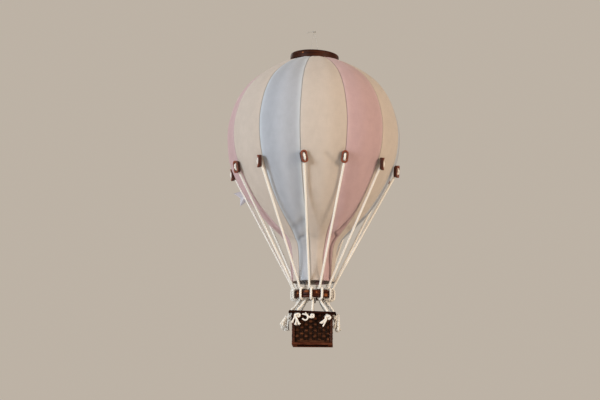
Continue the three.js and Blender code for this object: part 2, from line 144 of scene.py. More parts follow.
def editAll(piece):
    makeActive(piece)
    bpy.ops.object.mode_set(mode="EDIT")
    bpy.ops.mesh.select_all(action="SELECT")


def outwardNormals(piece):
    editAll(piece)
    bpy.ops.mesh.remove_doubles(threshold=0.01 * mm)
    bpy.ops.mesh.normals_make_consistent(inside=False)
    bpy.ops.object.mode_set(mode="OBJECT")


def smoothByAngle(piece, degrees):
    makeActive(piece)
    bpy.ops.object.shade_smooth_by_angle(angle=math.radians(degrees))
    return piece


# Tips a piece about a height, lower on the right
def tipPiece(piece, degrees, height):
    pivot = Matrix.Translation((0, 0, height * mm))
    piece.data.transform(pivot @ Matrix.Rotation(math.radians(degrees), 4, "Y") @ pivot.inverted())


def joinPieces(pieces, name):
    makeActive(pieces[0])
    for piece in pieces:
        piece.select_set(True)
    bpy.ops.object.join()
    return namePiece(name)


def meshPiece(name, points, faces):
    mesh = bpy.data.meshes.new(name)
    mesh.from_pydata([point * mm for point in points], [], faces)
    piece = bpy.data.objects.new(name, mesh)
    scene.collection.objects.link(piece)
    return piece


# UVs are for each corner of each face, and an attribute has a value for each point
def addLayers(piece, uvs, **attributes):
    layer = piece.data.uv_layers.new(name="UVMap")
    layer.data.foreach_set("uv", [value for pair in uvs for value in pair])
    for label, values in attributes.items():
        piece.data.attributes.new(label, "FLOAT", "POINT").data.foreach_set("value", values)


# The sides and both ends of a tube whose rings of points follow each other
def tubeFaces(start, rings, sides):
    faces = []
    for i in range(rings - 1):
        for n in range(sides):
            a, b = start + i * sides + n, start + i * sides + (n + 1) % sides
            faces.append((a, b, b + sides, a + sides))
    first, last = (tuple(ring + n for n in range(sides)) for ring in (start, start + (rings - 1) * sides))
    return [*faces, first[::-1], last]


def copyPiece(piece, name, matrix=None):
    copy = bpy.data.objects.new(name, piece.data.copy())
    copy.data.name = name
    scene.collection.objects.link(copy)
    if matrix is not None:
        copy.data.transform(matrix)
    return copy


# Copies of a piece, each a quarter turn on from the last
def quarterCopies(piece, names):
    turns = [Matrix.Rotation(math.radians(90 * n), 4, "Z") for n in range(4)]
    copies = [copyPiece(piece, name, turn) for name, turn in zip(names, turns)]
    bpy.data.objects.remove(piece)
    return copies


def finishPiece(piece, node, finish, body="balloon"):
    piece.data.materials.clear()
    piece.data.materials.append(finishes[finish])
    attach(piece, body)
    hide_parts(node)


# Camera

camera = {
    "lens": 85,
    "clip": (0.01, 50),
    "distance": 1622,  # from the balloon's axis
    "height": -482.5,
    "aside": -15.6,  # the balloon hangs a little to the right of the middle
    "pitch": 9.8,
    "turn": 1.6,  # round the balloon
    "roll": 0.45,
}
cameraData = bpy.data.cameras.new("viewCamera")
cameraData.lens = camera["lens"]
cameraData.clip_start, cameraData.clip_end = camera["clip"]
viewCamera = bpy.data.objects.new("viewCamera", cameraData)
scene.collection.objects.link(viewCamera)
viewCamera.matrix_world = (
    Matrix.Rotation(math.radians(camera["turn"]), 4, "Z")
    @ Matrix.Translation(Vector((camera["aside"], -camera["distance"], camera["height"])) * mm)
    @ Matrix.Rotation(math.radians(90 + camera["pitch"]), 4, "X")
    @ Matrix.Rotation(math.radians(camera["roll"]), 4, "Z")
)
scene.camera = viewCamera
print("camera set")


# Finishes: a material whose nodes are added by short calls, each of which gives the new node's output

class Finish:
    def __init__(self, name):
        self.material = bpy.data.materials.new(name)
        self.material.use_nodes = True
        self.tree = self.material.node_tree
        coordinates = self.tree.nodes.new("ShaderNodeTexCoord")
        self.place, self.uv = coordinates.outputs["Object"], coordinates.outputs["UV"]

    def fill(self, node, inputs):
        for key, value in inputs.items():
            socket = node.inputs[key]
            if isinstance(value, bpy.types.NodeSocket):
                self.tree.links.new(value, socket)
            else:
                socket.default_value = (*value, 1) if socket.type == "RGBA" else value

    def add(self, kind, inputs, output=0, **settings):
        node = self.tree.nodes.new("ShaderNode" + kind)
        for key, value in settings.items():
            setattr(node, key, value)
        self.fill(node, inputs)
        return node.outputs[output]

    def plus(self, a, b):
        return self.add("Math", {0: a, 1: b}, operation="ADD")

    def times(self, a, b):
        return self.add("Math", {0: a, 1: b}, operation="MULTIPLY")

    def over(self, a, b):
        return self.add("Math", {0: a, 1: b}, operation="DIVIDE")

    def wave(self, phase):
        return self.add("Math", {0: phase}, operation="SINE")

    def split(self, vector):
        return self.add("SeparateXYZ", {0: vector}).node.outputs

    def attribute(self, name):
        return self.add("Attribute", {}, "Fac", attribute_name=name)

    def mix(self, share, a, b, blend="MIX"):
        return self.add("Mix", {0: share, 6: a, 7: b}, 2, data_type="RGBA", blend_type=blend)

    def remap(self, value, low, high, newLow, newHigh):
        return self.add("MapRange", {0: value, 1: low, 2: high, 3: newLow, 4: newHigh})

    # Size is the width of one blotch in millimetres, and stretch makes it longer along an axis
    def noise(self, coordinates, size, stretch=(1, 1, 1), detail=2, offset=(0, 0, 0)):
        scale = [1 / (size * mm * s) for s in stretch]
        mapping = self.add("Mapping", {"Vector": coordinates, "Scale": scale, "Location": offset})
        return self.add("TexNoise", {"Vector": mapping, "Scale": 1.0, "Detail": detail})

    # Values are the shader's own, and each bump is a pattern, its depth in millimetres and its strength
    def done(self, colour, values, *bumps):
        normal = {}
        for pattern, depth, strength in bumps:
            inputs = {"Height": pattern, "Distance": depth * mm, "Strength": strength, **normal}
            normal = {"Normal": self.add("Bump", inputs)}
        self.fill(self.tree.nodes["Principled BSDF"], {"Base Color": colour, **values, **normal})
        return self.material


noiseSpan = (0.3, 0.7)  # where most of a noise lies

cloth = {
    "thread": 0.62,  # thread pitch
    "slub": 0.5,  # width of the thicker threads
    "slubLength": 22,  # as a multiple of their width
    "mottle": 7,
    "clouds": 30,
    "shadeStripes": 13.0,  # how close the soft stripes of painted light and shade lie
    "seamLine": 0.8,  # reach of the painted shade along a seam
    "seamPaintedLight": (0.6, 6.0),  # painted light near a seam: the lighter edge colour is full up to the first and gone at the second
    # tone of the painted shade along a seam
    "seamShadeTone": 0.80,
    # tone of the painted shade in a deep crease
    "creaseDark": 0.52,
}


# Plain woven cotton: threads follow the gore's own UV, in metres. Its colour also holds painted light and
# shade: soft stripes across the gore, a lighter colour near the seams, and painted shade along each seam and
# in deep creases. The last argument is the strength of the stripes.
def clothFinish(name, colour, seamLitColour, shadeBands):
    finish = Finish(name)
    uv, length = finish.uv, cloth["slubLength"]
    warp, weft = [
        finish.wave(finish.times(direction, 2 * math.pi / (cloth["thread"] * mm)))
        for direction in finish.split(uv)[:2]
    ]
    weave = finish.times(warp, weft)
    slubs = finish.plus(
        finish.noise(uv, cloth["slub"], (1, length, 1)),
        finish.noise(uv, cloth["slub"], (length, 1, 1), 2, (3, 5, 0)),
    )
    mottle = finish.noise(uv, cloth["mottle"], (1, 1.6, 1), 4, (7, 1, 0))
    clouds = finish.noise(uv, cloth["clouds"], (1, 2.4, 1), 2, (2, 9, 0))
    # painted light and shade in soft stripes across the gore
    shadeStripes = finish.wave(finish.times(finish.plus(finish.attribute("across"), 0.06), cloth["shadeStripes"]))
    seam = finish.attribute("seamDistance")
    tone = finish.plus(
        finish.remap(mottle, *noiseSpan, 0.965, 1.03), finish.remap(shadeStripes, -1, 1, -shadeBands, shadeBands),
    )
    for pattern, low, high, lowTone, highTone in (
        (clouds, *noiseSpan, 0.975, 1.02),
        (slubs, 0.7, 1.3, 0.97, 1.03),
        (weave, -1, 1, 0.985, 1.015),
        # painted shade along each seam
        (seam, 0, cloth["seamLine"] * mm, cloth["seamShadeTone"], 1),
        # painted shade in the creases of folds
        (finish.attribute("crease"), 0, 1, 1, cloth["creaseDark"]),
    ):
        tone = finish.times(tone, finish.remap(pattern, low, high, lowTone, highTone))
    # painted light: a lighter colour near each seam
    near, far = cloth["seamPaintedLight"]
    plain = finish.mix(finish.remap(seam, near * mm, far * mm, 1, 0), colour, seamLitColour)
    grey = finish.add("CombineColor", {0: tone, 1: tone, 2: tone})
    return finish.done(
        finish.mix(1.0, plain, grey, "MULTIPLY"),
        {"Roughness": 0.92, "Specular IOR Level": 0.22, "Sheen Weight": 0.18, "Sheen Roughness": 0.55},
        (weave, 0.05, 0.55), (slubs, 0.08, 0.5),
    )


# Twisted cotton: UV runs round the strand and along it in metres, and twist is the length of one turn. The
# wave of its yarns paints shade into the grooves between them.
def cottonFinish(name, colour, shade, turned=5.0, twist=2.6):
    finish = Finish(name)
    rounds, along = finish.split(finish.uv)[:2]
    turns = finish.plus(finish.times(rounds, turned), finish.over(along, twist * mm))
    yarn = finish.wave(finish.times(turns, 2 * math.pi))
    fibres = finish.noise(finish.place, 0.22, (1, 1, 3), 3)
    soft = finish.noise(finish.place, 6)
    # painted shade in the grooves of the twist
    tone = finish.remap(yarn, -1, 1, 0, 0.55)
    for pattern, strength in ((fibres, 0.35), (soft, 0.2)):
        tone = finish.plus(tone, finish.remap(pattern, *noiseSpan, 0, strength))
    return finish.done(
        finish.mix(tone, shade, colour),
        {"Roughness": 0.88, "Specular IOR Level": 0.25, "Sheen Weight": 0.25, "Sheen Roughness": 0.5},
        (yarn, 0.09, 0.7), (fibres, 0.06, 0.5),
    )


wood = {
    "fibre": 0.55,
    "streak": 2.6,
    "blotch": 9,
    "groove": 0.9,  # pitch of the grooves in turned wood
    # colour of the painted highlights, and how much of it shows at the middle of a spot
    "paintedLight": (0.380, 0.125, 0.042),
    "highlightShare": 0.8,
    "highlightCore": 0.45,  # the share of a painted highlight that is full all over
}


# Stained wood: grain is the stretch of its fibres along X, Y and Z, and turned wood has grooves round Z. Each
# painted highlight is a spot given by a place and its reach in millimetres.
def woodFinish(name, dark, light, grain, roughness, shine=0.08, turned=False, highlightSpots=()):
    finish = Finish(name)
    fibres = finish.noise(finish.place, wood["fibre"], grain, 4)
    streaks = finish.noise(finish.place, wood["streak"], grain, 3, (4, 2, 8))
    blotches = finish.noise(finish.place, wood["blotch"], (1, 1, 1), 2, (1, 6, 3))
    tone = finish.times(finish.remap(fibres, 0.35, 0.65, 0, 1), 0.45)
    tone = finish.plus(tone, finish.remap(streaks, 0.38, 0.68, 0, 0.5))
    tone = finish.plus(tone, finish.remap(blotches, 0.35, 0.7, -0.1, 0.15))
    colour = finish.mix(tone, dark, light)
    ragged = finish.remap(fibres, *noiseSpan, -0.25, 0.25)
    # painted highlights, lighter towards each spot's middle
    for middle, reach in highlightSpots:
        away = finish.place
        for operation, values in (("SUBTRACT", middle), ("DIVIDE", reach)):
            inputs = {0: away, 1: [value * mm for value in values]}
            away = finish.add("VectorMath", inputs, operation=operation)
        away = finish.add("VectorMath", {0: away}, "Value", operation="LENGTH")
        share = finish.remap(finish.plus(away, ragged), wood["highlightCore"], 1, wood["highlightShare"], 0)
        colour = finish.mix(share, colour, wood["paintedLight"])
    bumps = [(fibres, 0.12, 0.5)]
    if turned:
        height = finish.split(finish.place)[2]
        grooves = finish.wave(finish.times(height, 2 * math.pi / (wood["groove"] * mm)))
        bumps.append((grooves, 0.05, 0.35))
    rough = finish.remap(fibres, *noiseSpan, roughness - 0.08, roughness + 0.12)
    return finish.done(colour, {"Roughness": rough, "Specular IOR Level": shine}, *bumps)


# Flat cane coloured with painted light and shade: lighter where a strip passes in front and towards its lower
# edge, darker at its edges and on the stakes. UV runs over the strip's section and along it in metres
def caneFinish(name, dark, light):
    finish = Finish(name)
    blotches = finish.noise(finish.place, 5.5, (1, 1, 0.7))
    fibres = finish.noise(finish.uv, 0.35, (1, 16, 1), 3)
    tone = finish.times(finish.attribute("crest"), finish.remap(blotches, 0.35, 0.68, 0.15, 1.15))
    tone = finish.plus(tone, finish.remap(fibres, *noiseSpan, -0.12, 0.14))
    return finish.done(
        finish.mix(tone, dark, light), {"Roughness": 0.58, "Specular IOR Level": 0.04}, (fibres, 0.08, 0.5),
    )


# Polished reddish wood, with painted light on the rims that face forward and painted shade on the sides
def toggleFinish(name, dark, light):
    finish = Finish(name)
    fibres = finish.noise(finish.place, 0.6, (1, 1, 5), 4)
    grain = finish.remap(fibres, *noiseSpan, -0.02, 0.22)
    # the front attribute carries painted light on the forward rims
    tone = finish.plus(finish.remap(finish.attribute("front"), 0, 1, 0, 0.75), grain)
    return finish.done(
        finish.mix(tone, dark, light),
        {"Roughness": 0.34, "Specular IOR Level": 0.3, "Coat Weight": 0.12, "Coat Roughness": 0.12},
        (fibres, 0.04, 0.4),
    )


# Pale resin with a faint marbling
def starFinish(name, colour):
    finish = Finish(name)
    veins = finish.noise(finish.place, 5, (1, 1, 1), 5)
    grains = finish.noise(finish.place, 0.4)
    deep, pale = ([value * share for value in colour] for share in (0.86, 1.12))
    return finish.done(
        finish.mix(finish.remap(veins, 0.35, 0.65, 0, 1), deep, pale),
        {"Roughness": 0.45, "Subsurface Weight": 0.15, "Subsurface Radius": (0.002, 0.002, 0.002)},
        (grains, 0.02, 0.3),
    )


def nylonFinish(name, dark, light):
    finish = Finish(name)
    drawn = finish.noise(finish.place, 0.3, (1, 1, 12))
    return finish.done(
        finish.mix(drawn, dark, light), {"Transmission Weight": 0.5, "IOR": 1.53, "Roughness": 0.5},
        (drawn, 0.02, 0.3),
    )


def paintFinish(name, dark, light):
    finish = Finish(name)
    return finish.done(finish.mix(finish.noise(finish.place, 120), dark, light), {"Roughness": 0.85})


finishes = {
    # each cloth's second colour is its painted light near the seams
    "cream": clothFinish("creamCotton", (0.560, 0.475, 0.418), (0.580, 0.492, 0.434), 0.008),
    "blue": clothFinish("blueCotton", (0.420, 0.432, 0.482), (0.512, 0.540, 0.592), 0.045),
    "pink": clothFinish("pinkCotton", (0.520, 0.348, 0.360), (0.560, 0.392, 0.405), 0.012),
    "cotton": cottonFinish("twistedCotton", (0.960, 0.915, 0.865), (0.890, 0.825, 0.755)),
    "cap": woodFinish(
        "capWood", (0.011, 0.003, 0.002), (0.076, 0.020, 0.009), (14, 14, 1), 0.42,
        # a painted highlight on the cap's front
        highlightSpots=[((-13.0, -25.5, -32.0), (1.6, 1.6, 1.0))],
    ),
    "ring": woodFinish(
        "ringWood", (0.016, 0.004, 0.002), (0.100, 0.026, 0.012), (5, 5, 1), 0.34, turned=True,
        # painted highlights on the ring
        highlightSpots=[
            ((-7.0, -21.4, -310.8), (3.4, 3.4, 1.5)), ((15.3, -16.5, -314.5), (3.4, 3.4, 2.0)),
            ((-17.2, -14.5, -312.2), (1.8, 1.8, 1.8)), ((4.7, -22.0, -311.8), (1.4, 1.4, 1.4)),
            ((17.5, 14.1, -313.0), (3.0, 3.0, 1.6)), ((-12.0, 19.0, -311.5), (3.0, 3.0, 1.6)),
        ],
    ),
    "basketWood": woodFinish("basketWood", (0.018, 0.006, 0.004), (0.110, 0.038, 0.022), (3, 3, 3), 0.5),
    "rimWood": woodFinish("rimWood", (0.006, 0.002, 0.0015), (0.030, 0.010, 0.006), (8, 8, 1), 0.55, 0.0),
    "rail": woodFinish("railWood", (0.040, 0.011, 0.007), (0.190, 0.062, 0.030), (12, 12, 1), 0.45, 0.0),
    "cane": caneFinish("stainedCane", (0.005, 0.002, 0.001), (0.185, 0.064, 0.029)),
    "toggle": toggleFinish("toggleWood", (0.022, 0.005, 0.003), (0.260, 0.062, 0.030)),
    "star": starFinish("starResin", (0.548, 0.500, 0.548)),
    "nylon": nylonFinish("clearNylon", (0.56, 0.53, 0.50), (0.68, 0.65, 0.62)),
    "paint": paintFinish("palePaint", (0.60, 0.57, 0.53), (0.64, 0.61, 0.57)),
}
print("finishes mixed")


# The envelope's measures, as the construction has them, and those of its cloth

envelope = {
    "equator": -131.0,
    "gores": 12,
    "firstSeam": -7.0,  # degrees from straight ahead
    "profile": [  # height above the equator and radius at the seams
        (93.6, 27.8), (88.6, 40.1), (77.5, 59.1), (63.4, 75.7), (46.0, 87.8), (28.3, 94.7),
        (9.9, 98.5), (-8.2, 98.4), (-26.3, 95.2), (-46.8, 87.0), (-68.4, 75.5), (-88.5, 61.3),
        (-104.4, 46.4), (-113.5, 37.2), (-120.5, 31.9), (-129.5, 28.2), (-149.3, 25.8), (-167.5, 24.8),
    ],
    "bulge": 2.1,
    "thickness": 1.0,
    "roll": 0.6,  # radius of the cloth where it turns in at a seam
    "seamGap": 0.05,  # from the seam to the cloth
    "allowance": 3.0,  # seam allowance, inside
    "drift": 0.16,  # slow waves across the cloth
    "ripple": 0.10,  # and along it
    "rippleLength": 17,
    "pucker": 0.13,  # at the stitches
    "puckerSpacing": 5.6,
    "puckerReach": 2.2,
    "hem": 3.2,  # from the edge to its stitches
    "hemDepth": 0.22,
    "hemReach": 0.9,
    "creaseDepth": 1.6,  # a fold this deep and this narrow gets full painted shade
    "creaseWidth": 2.2,
    "rows": 190,
    "columns": 24,
}
equator = envelope["equator"]
goreAngle = 360 / envelope["gores"]


def around(angle, outward, sideways, up):
    a = math.radians(angle)
    return Vector((
        outward * math.sin(a) + sideways * math.cos(a),
        -outward * math.cos(a) + sideways * math.sin(a),
        up,
    ))


# A centripetal Catmull-Rom line through the points, in steps of one length
def smoothLine(points, step):
    first = points[0] * 2 - points[1]
    last = points[-1] * 2 - points[-2]
    knots = [first, *points, last]
    dense = []
    for i in range(1, len(knots) - 2):
        a, b, c, d = knots[i - 1:i + 3]
        t1 = max((b - a).length, 1e-6) ** 0.5
        t2 = t1 + max((c - b).length, 1e-6) ** 0.5
        t3 = t2 + max((d - c).length, 1e-6) ** 0.5
        pieces = max(4, int((c - b).length / step * 3))
        for j in range(pieces):
            t = t1 + (t2 - t1) * j / pieces
            ab = a.lerp(b, t / t1)
            bc = b.lerp(c, (t - t1) / (t2 - t1))
            cd = c.lerp(d, (t - t2) / (t3 - t2))
            abc = ab.lerp(bc, t / t2)
            bcd = bc.lerp(cd, (t - t1) / (t3 - t1))
            dense.append(abc.lerp(bcd, (t - t1) / (t2 - t1)))
    dense.append(points[-1].copy())
    lengths = [0.0]
    for a, b in zip(dense, dense[1:]):
        lengths.append(lengths[-1] + (b - a).length)
    count = max(2, round(lengths[-1] / step))
    line = []
    k = 0
    for i in range(count + 1):
        target = lengths[-1] * i / count
        while k < len(lengths) - 2 and lengths[k + 1] < target:
            k += 1
        span = lengths[k + 1] - lengths[k] or 1
        line.append(dense[k].lerp(dense[k + 1], (target - lengths[k]) / span))
    return line


profileLine = smoothLine([Vector((radius, 0, height)) for height, radius in envelope["profile"]], 0.5)
profileLength = sum((b - a).length for a, b in zip(profileLine, profileLine[1:]))


# Radius, height, and the outward normal's two parts
def profileAt(share):
    at = share * (len(profileLine) - 1)
    k = min(int(at), len(profileLine) - 2)
    a, b = profileLine[k], profileLine[k + 1]
    point = a.lerp(b, at - k)
    before, after = profileLine[max(k - 2, 0)], profileLine[min(k + 3, len(profileLine) - 1)]
    along = (after - before).normalized()
    return point.x, point.z, -along.z, along.x


def envelopeRadiusAt(height):
    for a, b in zip(profileLine, profileLine[1:]):
        if b.z <= height:
            return a.x + (b.x - a.x) * (a.z - height) / max(a.z - b.z, 1e-9)
    return profileLine[-1].x


# Rigging, as the construction has it apart from where a cord leaves its toggle; a row is a toggle and a cord

rigging = {
    "beltHeight": -38.7,
    "beltRadius": 95.5,
    "toggleWidth": 8.0,
    "toggleLength": 14.4,
    "toggleBack": -2.4,
    "toggleWaist": 1.8,
    "toggleEnds": 3.1,
    "slotHalfWidth": 1.85,
    "slotHalfLength": 5.3,
    "barHalfHeight": 1.6,
    "barFront": 0.2,
    "barBack": -1.5,
    "gap": 0.3,
    "cordRadius": 1.45,
    "turnPitch": 3.5,
    "restHeights": (-66, -110),
    "flare": ((0.06, 4.2), (0.36, 8.8), (0.8, 13.8)),  # below the ring: share of the way out, and drop
    "ringHeight": -182.0,
    "ringOuter": 22.5,
    "ringInner": 18.5,
    "ringTall": 8.6,
    "ringTurn": 2.2,  # degrees from a toggle's seam to its cord's place on the ring
}
basket = {
    "rimTop": -202.6,
    "rimTall": 2.6,
    "rimTopHalf": 26.1,
    "rimBottomHalf": 27.2,
    "rimInnerHalf": 20.9,
    "rimTilt": 2.0,  # degrees, lower on the right
    "half": 23.1,
    "post": 3.4,
    "wallOuter": 22.0,
    "wallThickness": 1.9,
    "baseUnder": -240.3,
    "baseTall": 2.4,
    "baseInnerHalf": 17.6,
    "floorThickness": 1.5,
    "holeHalf": 23.7,
    "holeOffset": 16.4,
    "holeRadius": 1.75,
    "knotOut": 2.1,
    "knotRadius": 2.9,
}
# Out, side and up move a toggle off its place. In degrees, lean tips its top outward, twist turns it about
# its length and roll tips it sideways. The tassel leaves its knot outward, sideways and up, and fray is how
# far its yarns have come apart.
riggingColumns = ("seam", "out", "side", "up", "lean", "twist", "roll", "tassel", "fray")
riggingRows = [dict(zip(riggingColumns, row)) for row in (
    (-7, 0.7, 2.8, -0.4, 6, 28, -10, (1.5, -8.5, -0.5), 0.0),
    (23, 0.6, -1.7, 0.6, 6, -20, 5, (1.0, -6.0, -8.0), 0.0),
    (53, 1.4, 0.6, -1.1, 3, 36, 0, (3.0, -1.5, -10.5), 0.45),
    (83, 1.4, 0.0, -1.1, 4, -18, -3, (4.0, 0.0, -10.5), 0.55),
    (113, 0.4, 2.4, 1.5, 8, 2, 3, (3.0, 3.0, -9.5), 0.5),
    (143, 0.2, 0.3, 0.0, 6, -8, -4, (2.0, -3.0, -9.0), 0.5),
    (173, 0.2, -0.3, 0.3, 6, 6, 5, (2.5, 2.0, -9.0), 0.4),
    (203, 0.2, 0.2, -0.5, 6, 12, -3, (2.0, 4.0, -8.5), 0.5),
    (233, 0.2, 0.0, 0.0, 6, 0, 0, (5.5, -2.0, -7.5), 0.95),
    (263, 0.2, 0.0, -1.0, 6, 8, 0, (7.5, 0.5, -6.5), 1.0),
    (293, 0.3, 3.4, -1.6, 8, 20, -3, (6.0, 2.0, -7.5), 0.95),
    (323, 2.1, 0.0, -2.2, 1, -46, 0, (1.5, -3.0, -8.0), 0.1),
)]
# The tassels that show, drawn one by one, with places outward, sideways and up from the middle of the knot.
# The knot's turn ends on its foot side and leaves there, and each of three prongs is one ply.
drawnTassels = {
    0: {
        "shift": (0, 0.2), "foot": (0, -1), "leave": (-1, 0), "neck": [(1.3, -3.4, -1.4)],
        "prongs": [
            [(1.3, -6.4, 0.6), (1.5, -9.0, 1.6), (1.5, -10.9, 1.9)],
            [(1.3, -6.2, -4.4), (1.4, -8.4, -4.9), (1.5, -10.9, -3.3)],
            [(1.9, -5.4, 0.9), (2.1, -6.9, 1.9), (2.2, -7.5, 3.2)],
        ],
    },
    1: {
        "shift": (2.4, -1.0), "foot": (-0.86, 0.5), "leave": (-0.5, -0.86), "neck": [(1.3, -3.2, 0.9)],
        "prongs": [
            [(1.4, -4.4, -2.0), (1.5, -7.4, -4.6), (1.5, -9.8, -6.2)],
            [(1.6, -3.0, -2.6), (1.7, -4.8, -6.4), (1.7, -6.6, -10.0)],
            [(0.9, -3.8, -2.6), (0.9, -6.6, -5.6), (0.9, -8.8, -6.6)],
        ],
    },
    2: {
        "shift": (0, 0), "foot": (-1, 0), "leave": (0, -1), "neck": [(1.2, -0.6, -2.6)],
        "prongs": [
            [(0.4, -0.8, -5.0), (0.2, -1.2, -7.8), (-0.9, -1.4, -9.8)],
            [(2.6, -0.6, -4.4), (4.2, -1.0, -8.4), (3.3, -1.2, -12.8)],
            [(2.6, -0.4, 2.6), (3.6, -0.8, 3.4), (4.0, -1.0, -2.0), (3.6, -1.2, -7.5)],
        ],
    },
    11: {
        "shift": (0.7, 0.3), "foot": (-0.7, 0.7), "leave": (-0.7, -0.7), "neck": [(1.3, -3.4, 0.4)],
        "prongs": [
            [(1.4, -2.6, -3.6), (1.5, -2.4, -6.6), (1.5, -3.0, -9.8)],
            [(1.2, -4.6, -3.0), (1.2, -5.8, -5.4), (1.1, -6.6, -7.2)],
            [(1.8, -1.6, -4.0), (1.8, -0.4, -7.0), (1.7, 0.9, -9.6)],
        ],
    },
}


def toggleMatrix(row):
    place = around(
        row["seam"], rigging["beltRadius"] + row["out"], row["side"],
        equator + rigging["beltHeight"] + row["up"],
    )
    return (
        Matrix.Translation(place)
        @ Matrix.Rotation(math.radians(row["seam"]), 4, "Z")
        @ Matrix.Rotation(math.radians(row["lean"]), 4, "X")
        @ Matrix.Rotation(math.radians(row["roll"]), 4, "Y")
        @ Matrix.Rotation(math.radians(row["twist"]), 4, "Z")
    )


# How far the tilted rim lies below its own height at a place
def rimDrop(x):
    return x * math.tan(math.radians(basket["rimTilt"]))


def rimPlace(basketSide, slotIndex, outward, up):
    point = around(basketSide * 90, outward, (slotIndex - 1) * basket["holeOffset"], equator + up)
    point.z -= rimDrop(point.x)
    return point


def knotPlace(basketSide, slotIndex):
    under = basket["rimTop"] - basket["rimTall"] - rigging["gap"]
    out = basket["holeHalf"] + basket["knotOut"]
    return rimPlace(basketSide, slotIndex, out, under - basket["knotRadius"])


# A bight over the crossbar, down to the ring, a round turn on it, then down through the basket's rim
def cordRoute(row, basketSide, slotIndex):
    radius, gap = rigging["cordRadius"], rigging["gap"]
    place = toggleMatrix(row)
    hug = rigging["barFront"] + gap + radius
    reach = rigging["barHalfHeight"] + gap + radius
    bight = [
        place @ Vector((0, -outward, along))
        for outward, along in (
            (-2.2, reach + 0.2), (0.2, reach + 0.1), (hug - 0.8, reach - 0.5), (hug, 1.2),
            (hug, -1.2), (hug - 0.8, 0.5 - reach), (0.2, -reach - 0.1), (-1.4, -reach - 0.9),
            (-2.4, -reach - 2.3), (-3.6, -rigging["toggleLength"] / 2 - 1.1),
        )
    ]
    offset = radius + gap + 0.1
    middle = (rigging["ringOuter"] + rigging["ringInner"]) / 2
    wide = (rigging["ringOuter"] - rigging["ringInner"]) / 2
    tall = rigging["ringTall"] / 2
    side, top = wide + offset, tall + offset
    cornerSide, cornerTop = wide + offset * 0.6, tall + offset * 0.8
    wrap = [
        (wide * 0.8, top - 0.1), (-wide * 0.5, top), (-wide - offset * 0.7, tall + offset * 0.7),
        (-side, tall - 1), (-side, -tall), (-cornerSide, -cornerTop), (0, -top), (cornerSide, -cornerTop),
        (side, -tall), (side, tall), (cornerSide, cornerTop), (0, top), (-cornerSide, cornerTop),
        (-side, tall), (-side, 1 - tall),
    ]
    turn = [
        around(
            row["seam"] + rigging["ringTurn"],
            middle + outward,
            rigging["turnPitch"] * (i / (len(wrap) - 1) - 0.5),
            equator + rigging["ringHeight"] + up,
        )
        for i, (outward, up) in enumerate(wrap)
    ]
    start, end = bight[-1], turn[0]
    taut = []
    for height in (*rigging["restHeights"], envelope["profile"][-1][0]):
        point = start.lerp(end, (start.z - equator - height) / (start.z - end.z))
        nearest = envelopeRadiusAt(height) + radius * 1.15 + gap
        flat = Vector((point.x, point.y, 0))
        flat *= max(flat.length, nearest) / flat.length
        taut.append(Vector((flat.x, flat.y, equator + height)))
    below = turn[-1]
    over = rimPlace(basketSide, slotIndex, basket["holeHalf"] - 0.2, basket["rimTop"] + 1.2)
    flare = []
    for share, drop in rigging["flare"]:
        point = below.lerp(over, share)
        point.z = below.z - drop
        flare.append(point)
    under = rimPlace(basketSide, slotIndex, basket["holeHalf"], basket["rimTop"] - basket["rimTall"])
    return [*bight, *taut, *turn, *flare, over, under]


# Tubes and strands

# A tangent, a normal and a side for each point, carried along without twist
def framesAlong(line):
    frames = []
    normal = None
    for i in range(len(line)):
        tangent = (line[min(i + 1, len(line) - 1)] - line[max(i - 1, 0)]).normalized()
        if normal is None:
            helper = Vector((0, 0, 1)) if abs(tangent.z) < 0.9 else Vector((1, 0, 0))
            normal = tangent.cross(helper).normalized()
        normal = (normal - tangent * normal.dot(tangent)).normalized()
        frames.append((tangent, normal, tangent.cross(normal)))
    return frames


# Collects tubes as one mesh, with a UV that runs round and along each
class Tubes:
    def __init__(self):
        self.points, self.faces, self.uvs = [], [], []

    def add(self, line, radii, sides):
        start = len(self.points)
        along = [0.0]
        for i, (point, (tangent, normal, side)) in enumerate(zip(line, framesAlong(line))):
            if i:
                along.append(along[-1] + (point - line[i - 1]).length)
            radius = radii[i] if hasattr(radii, "__len__") else radii
            for j in range(sides):
                a = 2 * math.pi * j / sides
                self.points.append(point + radius * (math.cos(a) * normal + math.sin(a) * side))
        self.faces += tubeFaces(start, len(line), sides)
        for low, high in zip(along, along[1:]):
            for j in range(sides):
                corners = ((j, low), (j + 1, low), (j + 1, high), (j, high))
                self.uvs += [(u / sides, v * mm) for u, v in corners]
        self.uvs += [(0, 0)] * sides + [(0, along[-1] * mm)] * sides

    def piece(self, name):
        made = meshPiece(name, self.points, self.faces)
        addLayers(made, self.uvs)
        made.data.polygons.foreach_set("use_smooth", [True] * len(self.faces))
        made.data.update()
        return made


# Cords of three twisted plies, each knotted under the basket's rim and parted into prongs below the knot

cord = {
    "lay": 8.5,  # length of one twist
    "plyShare": 0.57,  # ply radius as a share of the cord's
    "step": 0.85,
    "plySides": 6,
    "knotLength": 20,  # the last stretch of the cord, where it is squeezed
    "knotCord": 1.3,
    "knotTurn": 1.65,
    "knotSweep": 380,  # degrees
    "knotDepth": 1.9,
    "prong": 0.86,  # a ply swells where it is free
    "prongEnd": [(0.126, 0.9), (0.225, 0.66), (0.279, 0.3)],  # rounded: way on and share of the radius
}
yarns = {
    "count": 27,  # at the end of a prong
    "radius": 0.56,
    "sides": 5,
    "thickness": (0.75, 1.2),
    "spread": (0.3, 1.2),
    "extra": (0.4, 3.0),  # how far they reach past the prong
    "curl": 1.6,
    "droop": 1.6,
}


